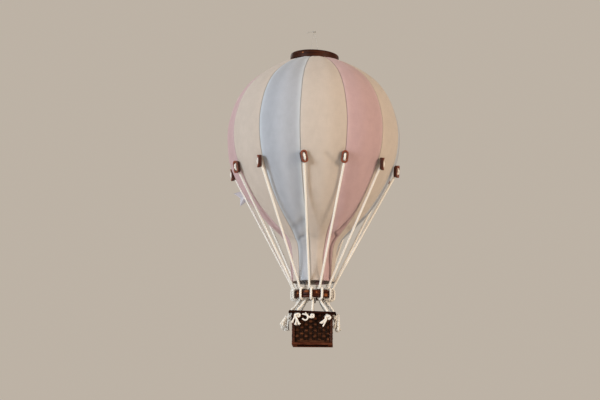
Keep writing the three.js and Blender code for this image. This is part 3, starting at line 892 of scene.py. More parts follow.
# Down behind the knot's middle, forward, once round its face and off on the foot side
def knotLine(at, foot, leave):
    points = [
        at(-basket["knotOut"] + 0.3, 0.3 * foot[0], 1.5),
        at(-1.5, -0.9 * leave[0], 0.2 - 0.9 * leave[1]),
    ]
    steps, sweep = 11, cord["knotSweep"]
    for i in range(steps + 1):
        a = math.radians(-sweep + sweep * i / steps)
        side = cord["knotTurn"] * (math.cos(a) * foot[0] + math.sin(a) * leave[0])
        up = cord["knotTurn"] * (math.cos(a) * foot[1] + math.sin(a) * leave[1])
        points.append(at(-0.9 + cord["knotDepth"] * i / steps, side, up))
    return points


# Three prongs for a tassel that isn't drawn one by one
def looseProngs(tassel, fray, draw):
    prongs = []
    for _ in range(3):
        tip = [value * draw.uniform(0.85, 1.15) + draw.uniform(-2.2, 2.2) * fray for value in tassel]
        lift = draw.uniform(0.4, 1.8) * fray
        prongs.append([
            (1 + tip[0] * 0.35, tip[1] * 0.35, tip[2] * 0.22 + lift),
            (tip[0] * 0.75, tip[1] * 0.7, tip[2] * 0.6 + lift * 0.6),
            tuple(tip),
        ])
    return prongs


# Yarns that spread from the end of a prong
def addYarns(tubes, prong, fray, draw):
    along = (prong[-1] - prong[max(0, len(prong) - 4)]).normalized()
    normal = along.cross(Vector((0.3, 0.5, 0.8))).normalized()
    other = along.cross(normal)
    root = prong[int(len(prong) * (0.75 - 0.45 * fray)):]
    count = round(yarns["count"] * (0.5 + 0.6 * fray))
    for n in range(count):
        a = 2 * math.pi * n / count + draw.uniform(-0.4, 0.4)
        arm = math.cos(a) * normal + math.sin(a) * other
        spread = draw.uniform(*yarns["spread"]) * (0.7 + 2.0 * fray)
        extra = draw.uniform(*yarns["extra"]) * (0.4 + fray)
        curl = draw.uniform(-yarns["curl"], yarns["curl"])
        points = len(root) + 6
        yarn = []
        for i in range(points):
            t = i / (points - 1)
            base = root[min(i, len(root) - 1)]
            ahead = max(0, i - len(root) + 1) / 6 * extra
            sway = math.sin(5 * t + curl) - math.sin(curl)
            drop = Vector((0, 0, -yarns["droop"])) * t * t * fray
            aside = arm * (0.3 + spread * t ** 1.4) + other * sway * 0.45 * t
            yarn.append(base + along * ahead + aside + drop)
        thick = yarns["radius"] * draw.uniform(*yarns["thickness"])
        radii = [thick * (1 - 0.2 * t / points) * (1 if t < points - 1 else 0.5) for t in range(points)]
        tubes.add(yarn, radii, yarns["sides"])


# Twists three plies along the line, and lets each run out along its own prong
def addPlies(tubes, line, prongs, fray, draw):
    frames = framesAlong(line)
    knotStart = len(line) - int(cord["knotLength"] / cord["step"])
    travelled = 0.0
    plies, radii = [[], [], []], []
    for i, (point, (tangent, normal, side)) in enumerate(zip(line, frames)):
        if i:
            travelled += (point - line[i - 1]).length
        squeeze = min(1, max(0, (i - knotStart) / 5))
        whole = rigging["cordRadius"] + (cord["knotCord"] - rigging["cordRadius"]) * squeeze
        radii.append(whole * cord["plyShare"])
        for j in range(3):
            a = 2 * math.pi * (travelled / cord["lay"] + j / 3)
            arm = whole * (1 - cord["plyShare"])
            plies[j].append(point + arm * (math.cos(a) * normal + math.sin(a) * side))
    for ply, prong in zip(plies, prongs):
        heading = (ply[-1] - ply[-3]).normalized()
        free = smoothLine([ply[-1], ply[-1] + heading * 0.9, *prong], 0.6)[1:]
        swell = [radii[-1] + (cord["prong"] - radii[-1]) * min(1, i / 5) for i in range(len(free))]
        if fray > 0.3:
            swell = [radius * (1 - 0.2 * i / len(free)) for i, radius in enumerate(swell)]
        end = (free[-1] - free[-2]).normalized()
        for ahead, share in cord["prongEnd"]:
            swell.append(swell[-1] * share)
            free.append(free[-1] + end * ahead)
        tubes.add(ply + free, radii + swell, cord["plySides"])
        if fray > 0:
            addYarns(tubes, free[:-3], fray, draw)
    return travelled


cordLengths = []
for index, row in enumerate(riggingRows):
    basketSide = ((index + 1) % 12) // 3
    slotIndex = (index + 1) % 3
    route = cordRoute(row, basketSide, slotIndex)
    draw = random.Random(40 + index)
    centre = knotPlace(basketSide, slotIndex)
    outward = around(basketSide * 90, 1, 0, 0)
    sideways = around(basketSide * 90, 0, 1, 0)
    drawn = drawnTassels.get(index)
    if drawn:
        foot, leave, neck, prongs = drawn["foot"], drawn["leave"], drawn["neck"], drawn["prongs"]
        centre = centre + sideways * drawn["shift"][0] + Vector((0, 0, drawn["shift"][1]))
    else:
        lean = math.copysign(1, row["tassel"][1] or 1)
        foot, leave = (lean, 0), (0, -1)
        neck = [(1.2, lean * cord["knotTurn"] * 0.7, -2.4)]
        prongs = looseProngs(row["tassel"], row["fray"], draw)

    def at(out, side, up):
        return centre + outward * out + sideways * side + Vector((0, 0, up))

    knot = knotLine(at, foot, leave) + [at(*point) for point in neck]
    line = smoothLine([*route, *knot], cord["step"])
    tubes = Tubes()
    prongs = [[at(*point) for point in prong] for prong in prongs]
    cordLengths.append(addPlies(tubes, line, prongs, row["fray"], draw))
    number = f"{index + 1:02d}"
    finishPiece(tubes.piece(f"cottonCord{number}"), f"cord_{number}", "cotton")
print("cords laid, mm:", ", ".join(f"{length:.0f}" for length in cordLengths))


# Envelope: twelve gores, each a sheet whose edges turn in at the seams

# Folds in the cloth, most of them where the envelope turns into its neck: how far each stands out and how
# wide it is, in millimetres, then its line as the share across the gore and the height
# A fold that sinks in gets painted shade in its crease.
goreFolds = {
    0: [
        (-0.9, 3.2, [(0.13, -109), (0.49, -107), (0.84, -102)]),
        (0.6, 3.4, [(0.45, -113), (0.75, -112)]),
        (-1.1, 1.3, [(0.19, -122), (0.43, -119), (0.66, -118)]),
        (0.4, 1.6, [(0.3, -125), (0.7, -122)]),
    ],
    1: [
        (-0.5, 2.4, [(0.57, -34), (0.75, -42), (0.93, -47)]),
        (0.3, 3.0, [(0.5, -41), (0.8, -50)]),
        (0.3, 3.5, [(0.3, -108), (0.7, -112)]),
        (-0.35, 2.6, [(0.1, -118), (0.6, -121)]),
        # a narrow groove beside the cord on this gore's left seam, whose painted shade stands for the cord's
        # shadow
        (-0.9, 0.8, [(0.025, -86), (0.03, -122), (0.05, -145), (0.07, -166)]),
    ],
    2: [
        (-2.1, 1.15, [
            (0.985, -82), (0.95, -90), (0.86, -99), (0.74, -105), (0.64, -109), (0.48, -112.5),
            (0.54, -114.5), (0.78, -116.5), (0.78, -120.5), (0.70, -126), (0.66, -131), (0.70, -142),
            (0.82, -151), (0.88, -165),
        ]),
        (0.9, 2.2, [(0.90, -104), (0.88, -113), (0.90, -121)]),
        (1.1, 3.6, [(0.40, -106), (0.50, -110)]),
        (-0.6, 1.6, [(0.2, -112), (0.45, -117)]),
        (0.5, 1.4, [(0.86, -132), (0.9, -145)]),
    ],
    3: [(0.7, 2.6, [(0.1, -95), (0.6, -99)]), (-0.6, 2.2, [(0.2, -106), (0.8, -108)])],
    4: [
        (-1.7, 2.6, [(0.10, -94), (0.2, -106), (0.28, -116), (0.28, -124), (0.22, -140), (0.2, -154)]),
        (0.6, 3.0, [(0.7, -100), (0.9, -115)]),
    ],
    10: [
        (1.9, 17.0, [(0.42, -38), (0.46, -60)]),
        (0.6, 3.0, [(0.2, -100), (0.8, -104)]),
        (-0.5, 2.4, [(0.3, -113), (0.8, -110)]),
    ],
    11: [(0.4, 3.0, [(0.3, -106), (0.9, -110)]), (-0.35, 2.4, [(0.4, -118), (0.9, -121)])],
}
# The seams wander there: height and how far to the right, in millimetres
seamLines = {
    0: [
        (-70, 0.0), (-96, 0.3), (-104, 0.4), (-112, -0.1),
        (-119, -0.8), (-125, 0.3), (-136, 0.0), (-166, -0.6),
    ],
    1: [(93, 0.0), (50, -1.0), (0, -1.5), (-38, -1.2), (-80, -0.8), (-110, -0.8), (-125, -0.5), (-166, 0.6)],
    2: [(-70, 0.0), (-106, 1.8), (-125, 2.8), (-141, 1.6), (-166, 2.6)],
    3: [(-70, 0.0), (-104, 3.6), (-113, 3.6), (-123, 1.3), (-143, 1.6), (-155, 2.0), (-166, 1.3)],
    11: [(-70, 0.0), (-100, 3.4), (-114, 5.1), (-122, 4.9), (-134, 2.4), (-146, 2.8), (-166, 1.1)],
}
foldDraw = random.Random(7)
for goreIndex in range(envelope["gores"]):
    if goreIndex not in goreFolds:
        goreFolds[goreIndex] = [
            (
                foldDraw.uniform(0.4, 0.9) * (1 if n % 2 else -1),
                foldDraw.uniform(2.0, 3.6),
                [
                    (foldDraw.uniform(0.05, 0.4), foldDraw.uniform(-121, -98)),
                    (foldDraw.uniform(0.6, 0.95), foldDraw.uniform(-121, -98)),
                ],
            )
            for n in range(4)
        ]
    if goreIndex not in seamLines:
        seamLines[goreIndex] = [
            (-75, 0.0), (-104, foldDraw.uniform(-1.6, 1.6)), (-122, foldDraw.uniform(-1.6, 1.6)),
            (-140, foldDraw.uniform(-0.8, 0.8)), (-166, foldDraw.uniform(-0.6, 0.6)),
        ]


# How far the cloth stands out at a place, and how much painted shade its creases get there
def foldAt(goreIndex, share, height, width):
    total, crease = 0.0, 0.0
    x, y = share * width, height
    for rise, wide, line in goreFolds[goreIndex]:
        reach = 5 * wide + 12
        if y > line[0][1] + reach or y < line[-1][1] - reach:
            continue
        nearest = 1e9
        for (x0, y0), (x1, y1) in zip(line, line[1:]):
            ax, bx = x0 * width, x1 * width
            span = (bx - ax) ** 2 + (y1 - y0) ** 2
            t = max(0, min(1, ((x - ax) * (bx - ax) + (y - y0) * (y1 - y0)) / span))
            nearest = min(nearest, math.hypot(x - ax - t * (bx - ax), y - y0 - t * (y1 - y0)))
        near = math.exp(-(nearest / wide) ** 2)
        total += rise * near
        if rise < 0:
            depth = min(1, -rise / envelope["creaseDepth"])
            crease = max(crease, near * depth * min(1, envelope["creaseWidth"] / wide))
    return total, crease


def wanderAt(seam, height):
    line = seamLines[seam % envelope["gores"]]
    if height >= line[0][0]:
        return line[0][1]
    for (high, a), (low, b) in zip(line, line[1:]):
        if height >= low:
            t = (high - height) / (high - low)
            return a + (b - a) * t * t * (3 - 2 * t)
    return line[-1][1]


def gorePiece(goreIndex, name):
    start = envelope["firstSeam"] - goreAngle + goreIndex * goreAngle
    roll, allowance, gap = envelope["roll"], envelope["allowance"], envelope["seamGap"]
    rows, columns = envelope["rows"], envelope["columns"]
    wave = random.Random(90 + goreIndex)
    driftPhase, ripplePhase, puckerPhase = (wave.uniform(0, 6.28) for _ in range(3))
    # One side of a section: distance from the seam and depth inward
    edge = [(gap, allowance), (gap, allowance * 0.66), (gap, roll + 0.35)]
    for i in range(5):
        a = math.radians(90 * i / 4)
        edge.append((gap + roll * (1 - math.cos(a)), roll * (1 - math.sin(a))))
    inner = edge[-1][0]
    points, uvs, shares, distances, creases = [], [], [], [], []
    for i in range(rows + 1):
        share = i / rows
        radius, height, normalOut, normalUp = profileAt(share)
        width = radius * math.radians(goreAngle)
        swell = envelope["bulge"] * math.sin(math.pi * min(1, 0.06 + share))
        travelled = share * profileLength
        section = [
            *edge,
            *((inner + (width - 2 * inner) * n / (columns + 1), 0.0) for n in range(1, columns + 1)),
            *((width - s, depth) for s, depth in reversed(edge)),
        ]
        leftAside, rightAside = wanderAt(goreIndex, height), wanderAt(goreIndex + 1, height)
        hem = sum(
            math.exp(-((fromEdge - envelope["hem"]) / envelope["hemReach"]) ** 2)
            for fromEdge in (travelled, profileLength - travelled)
        )
        for s, depth in section:
            across = s / width
            nearSeam = min(s, width - s)
            onFace = depth == 0
            free = min(1, nearSeam / 5)  # the cloth is held at its seams
            fold, crease = foldAt(goreIndex, across, height, width)
            out = swell * math.sin(math.pi * across) - depth
            out += fold * min(1, 0.25 + nearSeam / 3)
            out += envelope["drift"] * free * math.sin(2 * math.pi * across * 1.7 + driftPhase + 2 * share)
            ripple = math.sin(travelled / envelope["rippleLength"] + ripplePhase + 3 * across)
            out += envelope["ripple"] * free * ripple
            pucker = math.exp(-nearSeam / envelope["puckerReach"]) * (1 if onFace else 0.4)
            stitch = 2 * math.pi * travelled / envelope["puckerSpacing"] + puckerPhase * (across > 0.5)
            out += envelope["pucker"] * pucker * math.sin(stitch)
            out -= envelope["hemDepth"] * hem * onFace
            aside = leftAside + (rightAside - leftAside) * across
            angle = start + across * goreAngle + math.degrees(aside / radius)
            points.append(around(angle, radius + out * normalOut, 0, equator + height + out * normalUp))
            uvs.append(((s - width / 2) * mm, travelled * mm))
            shares.append(across)
            distances.append((nearSeam if onFace else 0.0) * mm)
            creases.append(crease)
    stride = len(edge) * 2 + columns
    faces = []
    for i in range(rows):
        for j in range(stride - 1):
            a = i * stride + j
            faces.append((a, a + stride, a + stride + 1, a + 1))
    piece = meshPiece(name, points, faces)
    mesh = piece.data
    corners = [uvs[corner.vertex_index] for corner in mesh.loops]
    addLayers(piece, corners, across=shares, seamDistance=distances, crease=creases)
    mesh.polygons.foreach_set("use_smooth", [True] * len(faces))
    area = sum(face.area for face in mesh.polygons)
    applyModifier(piece, "SOLIDIFY", thickness=envelope["thickness"] * mm, offset=-1)
    return piece, area


goreColours = ["blue", "cream", "pink", "cream"]
widest = max(radius for _, radius in envelope["profile"]) * math.radians(goreAngle)
for goreIndex in range(envelope["gores"]):
    colour = goreColours[goreIndex % 4]
    number = f"{goreIndex + 1:02d}"
    gore, goreArea = gorePiece(goreIndex, f"sewnGore{number}{colour.title()}")
    finishPiece(gore, f"gore_{number}_{colour}", colour)


# Cap and hanging loop

cap = {
    "radius": 28.6,
    "base": 93.0,  # above the equator, over the tops of the gores
    "tall": 9.0,
    "tilt": 2.5,  # the cap sits a little lower on the right
    "topEdge": 1.5,
    "underEdge": 0.5,
    "steps": [(3, 0), (6, 0.25), (8, 0.15)],  # shallow steps on its top: width and rise
}
loop = {
    "spread": 4.0,  # from the axis to a strand
    "depth": 3.5,  # into the cap
    "radius": 0.45,
    "shown": 0.3,  # drawn thinner between the cap and the knot
    "clearance": 0.3,
}
capBase = equator + cap["base"]
capTop = capBase + cap["tall"]


def onCapSide(*points):
    return all(math.hypot(point.x, point.y) > cap["radius"] * mm * 0.999 for point in points)


turnedCap = addCylinder("turnedCap", cap["radius"], cap["tall"], (0, 0, capBase + cap["tall"] / 2), 120)
selectWhere(turnedCap, "FACE", lambda normal: normal.z > 0.9)
insetSteps(cap["steps"])
selectWhere(turnedCap, "EDGE", lambda a, b: min(a.z, b.z) > capTop * mm - 1e-6 and onCapSide(a, b))
bpy.ops.mesh.bevel(offset=cap["topEdge"] * mm, segments=5)
selectWhere(turnedCap, "EDGE", lambda a, b: max(a.z, b.z) < capBase * mm + 1e-6)
bpy.ops.mesh.bevel(offset=cap["underEdge"] * mm, segments=3)
bpy.ops.object.mode_set(mode="OBJECT")
for sign in (-1, 1):
    place = (sign * loop["spread"], 0, capTop + 0.4)
    cutWith(turnedCap, addCylinder("drill", loop["radius"] + loop["clearance"], 2 * loop["depth"], place, 20))
tipPiece(turnedCap, cap["tilt"], capBase)
finishPiece(smoothByAngle(turnedCap, 35), "top_cap", "cap")

foot = capTop - loop["depth"] + loop["clearance"]
spread, thin = loop["spread"], loop["radius"]
strands = [
    (-spread, 0, foot), (-spread, 0, foot + 4), (-spread * 0.95, 0, foot + 10),
    (-spread * 0.55, 0, foot + 22), (-thin * 1.5, 0, -1.6), (-0.2, 0.7, -0.6), (0.7, 0.2, 0.3),
    (0.1, -0.8, 0.6), (-0.8, 0, 0.2), (0, 0.8, -0.3), (0.7, 0, -0.7),
    (thin * 1.5, 0, -1.6), (spread * 0.55, 0, foot + 22),
    (spread * 0.95, 0, foot + 10), (spread, 0, foot + 4), (spread, 0, foot),
]
tail = [(0.6, 0.1, 0.7), (-0.6, -0.3, 0.6), (-2.0, 0, 0.1), (-5.0, 0.3, -0.2), (-9.0, 0.2, -0.9)]
collar = [(0.95 * math.cos(a / 2), 0.95 * math.sin(a / 2), -0.55 + 0.09 * a / 2) for a in range(27)]
loopTubes = Tubes()
for route, step, radius, sides in (
    (strands, 0.6, loop["shown"], 10), (tail, 0.6, thin * 0.85, 10), (collar, 0.35, thin * 0.8, 8),
):
    loopTubes.add(smoothLine([Vector(point) for point in route], step), radius, sides)
finishPiece(loopTubes.piece("nylonLoop"), "hanging_loop", "nylon")
print("cap turned and loop tied")


# Toggles: an oval with a crossbar between two holes, waisted at the front

carving = {
    "edge": 0.8,
    "barSink": 0.4,  # the crossbar goes this far into the oval's sides
    "groove": (0.4, 8, 14),  # in the back, under the crossbar: where it begins, depth and length
    "grain": 0.27,  # size of the net that the oval is rounded with
    "rounding": 17,
    "kept": 0.42,  # share of the net's faces that stay
    "paintedLight": (0.9, 2.2),  # how far forward the painted light begins and is full
}


def togglePiece():
    width, length = rigging["toggleWidth"], rigging["toggleLength"]
    back, ends, waist = rigging["toggleBack"], rigging["toggleEnds"], rigging["toggleWaist"]
    slotWide, barTall = rigging["slotHalfWidth"], rigging["barHalfHeight"]
    barFront, barBack = rigging["barFront"], rigging["barBack"]
    facing, sidelong = (math.pi / 2, 0, 0), (0, math.pi / 2, 0)
    oval = addCylinder("toggle", width / 2, ends - back, (0, -(ends + back) / 2, 0), 48, facing)
    drawOut(oval, length / 2 - width / 2)
    rise = ends - waist
    saddleRadius = ((length / 2) ** 2 + rise ** 2) / (2 * rise)
    saddlePlace = (0, -(waist + saddleRadius), 0)
    cutWith(oval, addCylinder("saddle", saddleRadius, 3 * width, saddlePlace, 160, sidelong))
    easeEdges(oval, carving["edge"], 4, 45)
    slot = addCylinder("slot", slotWide, 20, (0, 0, 0), 32, facing)
    drawOut(slot, rigging["slotHalfLength"] - slotWide)
    cutWith(oval, slot)
    barSize = ((slotWide + carving["barSink"]) * 2, barFront - barBack, barTall * 2)
    cutWith(oval, addBox("bar", (0, -(barFront + barBack) / 2, 0), barSize), "UNION")
    behind, deep, long = carving["groove"]
    groovePlace = (0, behind + deep / 2, -(barTall + long / 2))
    cutWith(oval, addBox("groove", groovePlace, (slotWide * 2, deep, long)))
    outwardNormals(oval)
    applyModifier(oval, "REMESH", mode="VOXEL", voxel_size=carving["grain"] * mm)
    applyModifier(oval, "SMOOTH", factor=0.6, iterations=carving["rounding"])
    applyModifier(oval, "DECIMATE", ratio=carving["kept"])
    # painted light on the rims that face forward
    begin, full = carving["paintedLight"]
    paintedLight = [min(1, max(0, (-vertex.co.y / mm - begin) / (full - begin))) for vertex in oval.data.vertices]
    oval.data.attributes.new("front", "FLOAT", "POINT").data.foreach_set("value", paintedLight)
    makeActive(oval)
    bpy.ops.object.shade_smooth()
    return oval


toggle = togglePiece()
for index, row in enumerate(riggingRows):
    matrix = toggleMatrix(row)
    matrix.translation = matrix.translation * mm
    number = f"{index + 1:02d}"
    copy = copyPiece(toggle, f"ovalToggle{number}", matrix)
    finishPiece(copy, f"toggle_{number}", "toggle")
bpy.data.objects.remove(toggle)
print("toggles buttoned")


# Load ring, turned with two grooves

ring = {
    "soft": 0.9,  # radius of its edges
    "grooves": (1.4, -1.4),
    "groove": [(0.6, 0), (0.2, 0.35), (0, 0.5), (-0.2, 0.35), (-0.6, 0)],  # height and depth
    "steps": 96,
}


def turnedRing():
    outer, inner = rigging["ringOuter"], rigging["ringInner"]
    half, soft = rigging["ringTall"] / 2, ring["soft"]
    outline = []
    for x, z, startAngle in (
        (outer - soft, half - soft, 90), (outer - soft, soft - half, 0),
        (inner + soft, soft - half, 270), (inner + soft, half - soft, 180),
    ):
        for n in range(6):
            a = math.radians(startAngle - 18 * n)
            outline.append((x + soft * math.cos(a), z + soft * math.sin(a)))
        if startAngle == 90:
            for middle in ring["grooves"]:
                outline += [(outer - deep, middle + up) for up, deep in ring["groove"]]
    points = [Vector((x, 0, equator + rigging["ringHeight"] + z)) for x, z in outline]
    piece = meshPiece("turnedRing", points, [])
    piece.data.edges.add(len(points))
    for i, edge in enumerate(piece.data.edges):
        edge.vertices = (i, (i + 1) % len(points))
    piece.data.update()
    editAll(piece)
    bpy.ops.mesh.spin(steps=ring["steps"], angle=2 * math.pi, center=(0, 0, 0), axis=(0, 0, 1))
    bpy.ops.object.mode_set(mode="OBJECT")
    outwardNormals(piece)
    return smoothByAngle(piece, 40)


finishPiece(turnedRing(), "load_ring", "ring")
print("ring turned")


# Basket: woven walls between four posts, a sloping rim with holes for the cords, a base frame and a floor

weave = {
    "stakes": 8,
    "stakeSpacing": 5.0,
    "stakeShift": 0.6,  # the stakes sit a little to the right of the middle
    "stakeWidth": 3.8,
    "stakeThickness": 0.5,
    "stakeEdge": 0.5,
    "stripThickness": 0.7,
    "section": [  # a strip's, from its lower edge up its front and down its back: height and depth as shares
        (-1, 0.0), (-0.92, 0.6), (-0.6, 1.0), (0, 0.86), (0.6, 0.6), (0.92, 0.35), (1, 0.0),
        (0.92, -0.55), (0.6, -0.92), (0, -1.0), (-0.6, -0.92), (-0.92, -0.55),
    ],
    "rows": 9,
    "bandTall": 2.5,  # the plain strip under the rows
    "sway": 0.6,
    "bandSway": 0.75,  # how far out the plain strip lies, from -1 to 1
    "lean": 0.16,  # the lower edge stands out where a strip passes in front
    # painted light on the plain strip and on the stakes, which stay dark as painted shade in the recesses
    "bandLight": 0.42,
    "stakeLight": 0.12,
    "steps": 64,
    "levels": 16,
}
trim = {
    "postWrap": 0.9,  # a post's core is this much thinner than its wrapping
    "wrapEdge": 0.55,
    "rimEdge": 0.35,
    "lathEdge": 0.22,
    "lathGroove": [(0.5, 0), (0.12, -0.14)],  # width and rise
    "mitreGap": 0.06,  # a fine line shows at each mitre
    "slats": 6,
    "slatEdge": 0.3,
    "line": 0.12,  # between the bands of a post and between slats
}
wallTop = equator + basket["rimTop"] - basket["rimTall"] + 0.5
wallBottom = equator + basket["baseUnder"] + basket["baseTall"] + 0.05
rowPitch = (equator + basket["rimTop"] - basket["rimTall"] - wallBottom - weave["bandTall"]) / weave["rows"]


# The height of a row's middle and how tall it is; the plain strip is row -1
def rowPlace(rowIndex):
    if rowIndex < 0:
        return wallBottom + weave["bandTall"] / 2, weave["bandTall"]
    return wallBottom + weave["bandTall"] + (rowIndex + 0.5) * rowPitch, rowPitch


# The front wall: flat strips that pass before and behind the stakes, over a plain strip
def wovenWall(name):
    middle = basket["wallOuter"] - basket["wallThickness"] / 2
    half = basket["half"] - basket["post"] - 0.05
    steps, levels, spacing = weave["steps"], weave["levels"], weave["stakeSpacing"]
    points, faces, uvs, crests = [], [], [], []
    for rowIndex in range(-1, weave["rows"]):
        band = rowIndex < 0
        centreZ, tall = rowPlace(rowIndex)
        faces += tubeFaces(len(points), steps + 1, len(weave["section"]))
        for i in range(steps + 1):
            x = -half + 2 * half * i / steps
            phase = (x - weave["stakeShift"] + spacing / 2) / spacing
            swing = weave["bandSway"] if band else math.cos(math.pi * (phase + rowIndex))
            swing = math.copysign(abs(swing) ** 0.75, swing)
            fadeEnd = min(1, (half - abs(x)) / 0.15)
            for s, t in weave["section"]:
                lean = -s * weave["lean"] * max(0, swing)
                y = -(middle + (weave["sway"] * swing + lean) * fadeEnd) - t * weave["stripThickness"] / 2
                points.append(Vector((x, y, centreZ + s * tall * 0.49)))
                # painted light where a strip passes in front, strongest towards its lower edge, and painted
                # shade at its edges
                bright = max(0, swing) ** (1.0 + 0.9 * (s + 1)) * (0.62 - 0.42 * s)
                crests.append(weave["bandLight"] if band else bright * (1 if abs(s) < 0.95 else 0.25))
                uvs.append((s * tall * 0.5 * mm, x * mm))
    for n in range(weave["stakes"]):
        x = (n - (weave["stakes"] - 1) / 2) * spacing + weave["stakeShift"]
        left, right = max(-half, x - weave["stakeWidth"] / 2), min(half, x + weave["stakeWidth"] / 2)
        t = weave["stakeThickness"] / 2
        flatLeft, flatRight = left + weave["stakeEdge"], right - weave["stakeEdge"]
        outline = [(left, 0), (flatLeft, t), (flatRight, t), (right, 0), (flatRight, -t), (flatLeft, -t)]
        faces += [face[::-1] for face in tubeFaces(len(points), levels + 1, len(outline))]
        for i in range(levels + 1):
            z = wallBottom + (wallTop - wallBottom) * i / levels
            for px, dy in outline:
                points.append(Vector((px, -middle + dy, z)))
                crests.append(weave["stakeLight"])
                uvs.append((px * mm, z * mm))
    piece = meshPiece(name, points, faces)
    addLayers(piece, [uvs[corner.vertex_index] for corner in piece.data.loops], crest=crests)
    outwardNormals(piece)
    return smoothByAngle(piece, 50)


# A corner post, wrapped by the ends of the strips
def postPiece():
    size = basket["post"]
    centre, core = basket["half"] - size / 2, size - trim["postWrap"]
    parts = [addBox("core", (centre, centre, (wallBottom + wallTop) / 2), (core, core, wallTop - wallBottom))]
    for rowIndex in range(-1, weave["rows"]):
        middle, tall = rowPlace(rowIndex)
        wide = size - (0.0 if rowIndex % 2 else 0.3)
        parts.append(addBox("band", (centre, centre, middle), (wide, wide, tall - trim["line"])))
        easeEdges(parts[-1], trim["wrapEdge"], 3)
    return smoothByAngle(joinPieces(parts, "post"), 45)


sides = ["front", "right", "back", "left"]
wallNames = [f"wovenWall{side.title()}" for side in sides]
for side, wall in zip(sides, quarterCopies(wovenWall("wall"), wallNames)):
    finishPiece(wall, f"basket_wall_{side}", "cane")
corners = ["back_right", "back_left", "front_left", "front_right"]
postNames = ["cornerPost" + corner.title().replace("_", "") for corner in corners]
for corner, post in zip(corners, quarterCopies(postPiece(), postNames)):
    finishPiece(post, f"basket_post_{corner}", "basketWood")


# One sloping frame with a hole for each cord, a little lower on the right
def rimPiece():
    tall, opening, root2 = basket["rimTall"], 2 * basket["rimInnerHalf"], math.sqrt(2)
    low = equator + basket["rimTop"] - tall
    deselectAll()
    bpy.ops.mesh.primitive_cone_add(
        vertices=4, radius1=basket["rimBottomHalf"] * root2 * mm, radius2=basket["rimTopHalf"] * root2 * mm,
        depth=tall * mm, location=(0, 0, (low + tall / 2) * mm), rotation=(0, 0, math.pi / 4),
    )
    rim = startPiece("slopingRim")
    cutWith(rim, addBox("opening", (0, 0, low), (opening, opening, 20)))
    easeEdges(rim, trim["rimEdge"], 3, 20)
    for hole in range(12):
        spot = around(hole // 3 * 90, basket["holeHalf"], (hole % 3 - 1) * basket["holeOffset"], low)
        cutWith(rim, addCylinder("drill", basket["holeRadius"], 12, spot, 24))
    tipPiece(rim, basket["rimTilt"], low)
    return smoothByAngle(rim, 35)


# Four laths, mitred at the corners, with eased edges and a groove along each face
def basePiece():
    outer, inner, tall = basket["half"], basket["baseInnerHalf"], basket["baseTall"]
    middle = -(outer + inner) / 2
    place = (0, middle, equator + basket["baseUnder"] + tall / 2)
    lath = addBox("lath", place, (2 * outer, outer - inner, tall))
    for vertex in lath.data.vertices:
        if vertex.co.y > middle * mm:
            vertex.co.x *= inner / outer
        vertex.co.x -= math.copysign(trim["mitreGap"] * mm, vertex.co.x)
    selectWhere(lath, "FACE", lambda normal: normal.y < -0.9)
    insetSteps(trim["lathGroove"])
    bpy.ops.object.mode_set(mode="OBJECT")
    easeEdges(lath, trim["lathEdge"], 3, 40)
    laths = quarterCopies(lath, [f"lath{n}" for n in range(4)])
    return smoothByAngle(joinPieces(laths, "lathBase"), 40)


# A thin board of slats, flush with the top of the base
def floorPiece():
    half, thick = basket["baseInnerHalf"] - 0.15, basket["floorThickness"]
    low = equator + basket["baseUnder"] + basket["baseTall"] - thick
    pitch = 2 * half / trim["slats"]
    slats = []
    for n in range(trim["slats"]):
        centre = (-half + pitch * (n + 0.5), 0, low + thick / 2)
        slats.append(addBox("slat", centre, (pitch - trim["line"], 2 * half, thick)))
        easeEdges(slats[-1], trim["slatEdge"], 2)
    return smoothByAngle(joinPieces(slats, "slattedFloor"), 35)


finishPiece(rimPiece(), "basket_rim", "rimWood")
finishPiece(basePiece(), "basket_base", "rail")
finishPiece(floorPiece(), "basket_floor", "rimWood")
print("basket woven")


# Star pendant on its thread

star = {
    "centre": (-83.0, 64.0, -54.9),
    "holeAbove": 8.6,
    "holeRadius": 0.95,
    "edge": 0.07,
    "thread": 0.3,
    "slack": 0.25,  # between the thread and what it passes
    "toggle": 8,  # the row of the toggle that carries it
}


# The construction's star, with its edges eased
def facetedStar():
    piece = copyPiece(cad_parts["star"], "facetedStar")
    outwardNormals(piece)
    easeEdges(piece, star["edge"], 2, 12)
    return smoothByAngle(piece, 14)


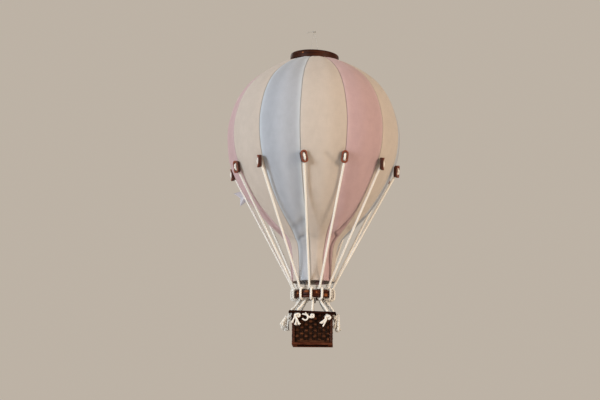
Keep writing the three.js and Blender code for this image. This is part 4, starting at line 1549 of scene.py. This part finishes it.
def threadRoute():
    place = toggleMatrix(riggingRows[star["toggle"]])
    thread, gap, slack = star["thread"], rigging["gap"], star["slack"]
    beside = rigging["toggleWidth"] / 2 + thread + gap
    behind = rigging["toggleBack"] - thread - slack
    before = rigging["toggleWaist"] + thread + gap
    inHole = star["holeRadius"] - thread - slack
    x, y, z = star["centre"]
    hang = lambda dy, dz: Vector((x, y + dy, equator + z + star["holeAbove"] + dz))
    onToggle = lambda sideways, outward: place @ Vector((sideways, -outward, 0))
    return [
        hang(0, inHole), hang(-1.9, inHole), hang(-2.8, inHole + 0.7),
        onToggle(beside, before), onToggle(beside, 0), onToggle(beside, behind + 0.7),
        onToggle(beside - 0.8, behind), onToggle(0, behind), onToggle(0.8 - beside, behind),
        onToggle(-beside, behind + 0.7), onToggle(-beside, 0), onToggle(-beside, before),
        hang(2.8, inHole + 0.7), hang(1.9, inHole), hang(0.05, inHole),
    ]


finishPiece(facetedStar(), "star", "star", body="star")
threadTubes = Tubes()
threadTubes.add(smoothLine(threadRoute(), 0.6), star["thread"], 8)
finishPiece(threadTubes.piece("starThread"), "star_thread", "cotton")
print("star hung")


# Floor, light and air; lights are in metres

studio = {
    "floorHeight": -492,
    "floorRadius": 4000,
    "air": (0.62, 0.545, 0.460),
    "airStrength": 0.82,
    "aim": (0, 0, -0.2),
    "lights": [  # name, place, width, colour and power
        ("windowLight", (-2.0, -1.7, 0.1), 1.15, (0.78, 0.91, 1.0), 43),
        ("roomLight", (1.9, -1.5, 0.12), 1.15, (1.0, 0.83, 0.62), 29),
        ("rimLight", (-0.8, 1.8, 1.0), 1.4, (1.0, 0.97, 0.93), 12),
    ],
}
deselectAll()
bpy.ops.mesh.primitive_circle_add(
    vertices=96, radius=studio["floorRadius"] * mm, fill_type="NGON",
    location=(0, 0, studio["floorHeight"] * mm),
)
studioFloor = startPiece("studioFloor")
studioFloor.data.materials.append(finishes["paint"])
for name, place, size, colour, power in studio["lights"]:
    lamp = bpy.data.lights.new(name, "AREA")
    lamp.shape = "DISK"
    lamp.size = size
    lamp.color = colour
    lamp.energy = power
    light = bpy.data.objects.new(name, lamp)
    scene.collection.objects.link(light)
    aim = Vector(studio["aim"]) - Vector(place)
    light.matrix_world = Matrix.Translation(place) @ aim.to_track_quat("-Z", "Y").to_matrix().to_4x4()
world = bpy.data.worlds.new("studioAir")
world.use_nodes = True
background = world.node_tree.nodes["Background"].inputs
background["Color"].default_value = (*studio["air"], 1)
background["Strength"].default_value = studio["airStrength"]
scene.world = world
scene.view_settings.view_transform = "Standard"
print("studio lit")
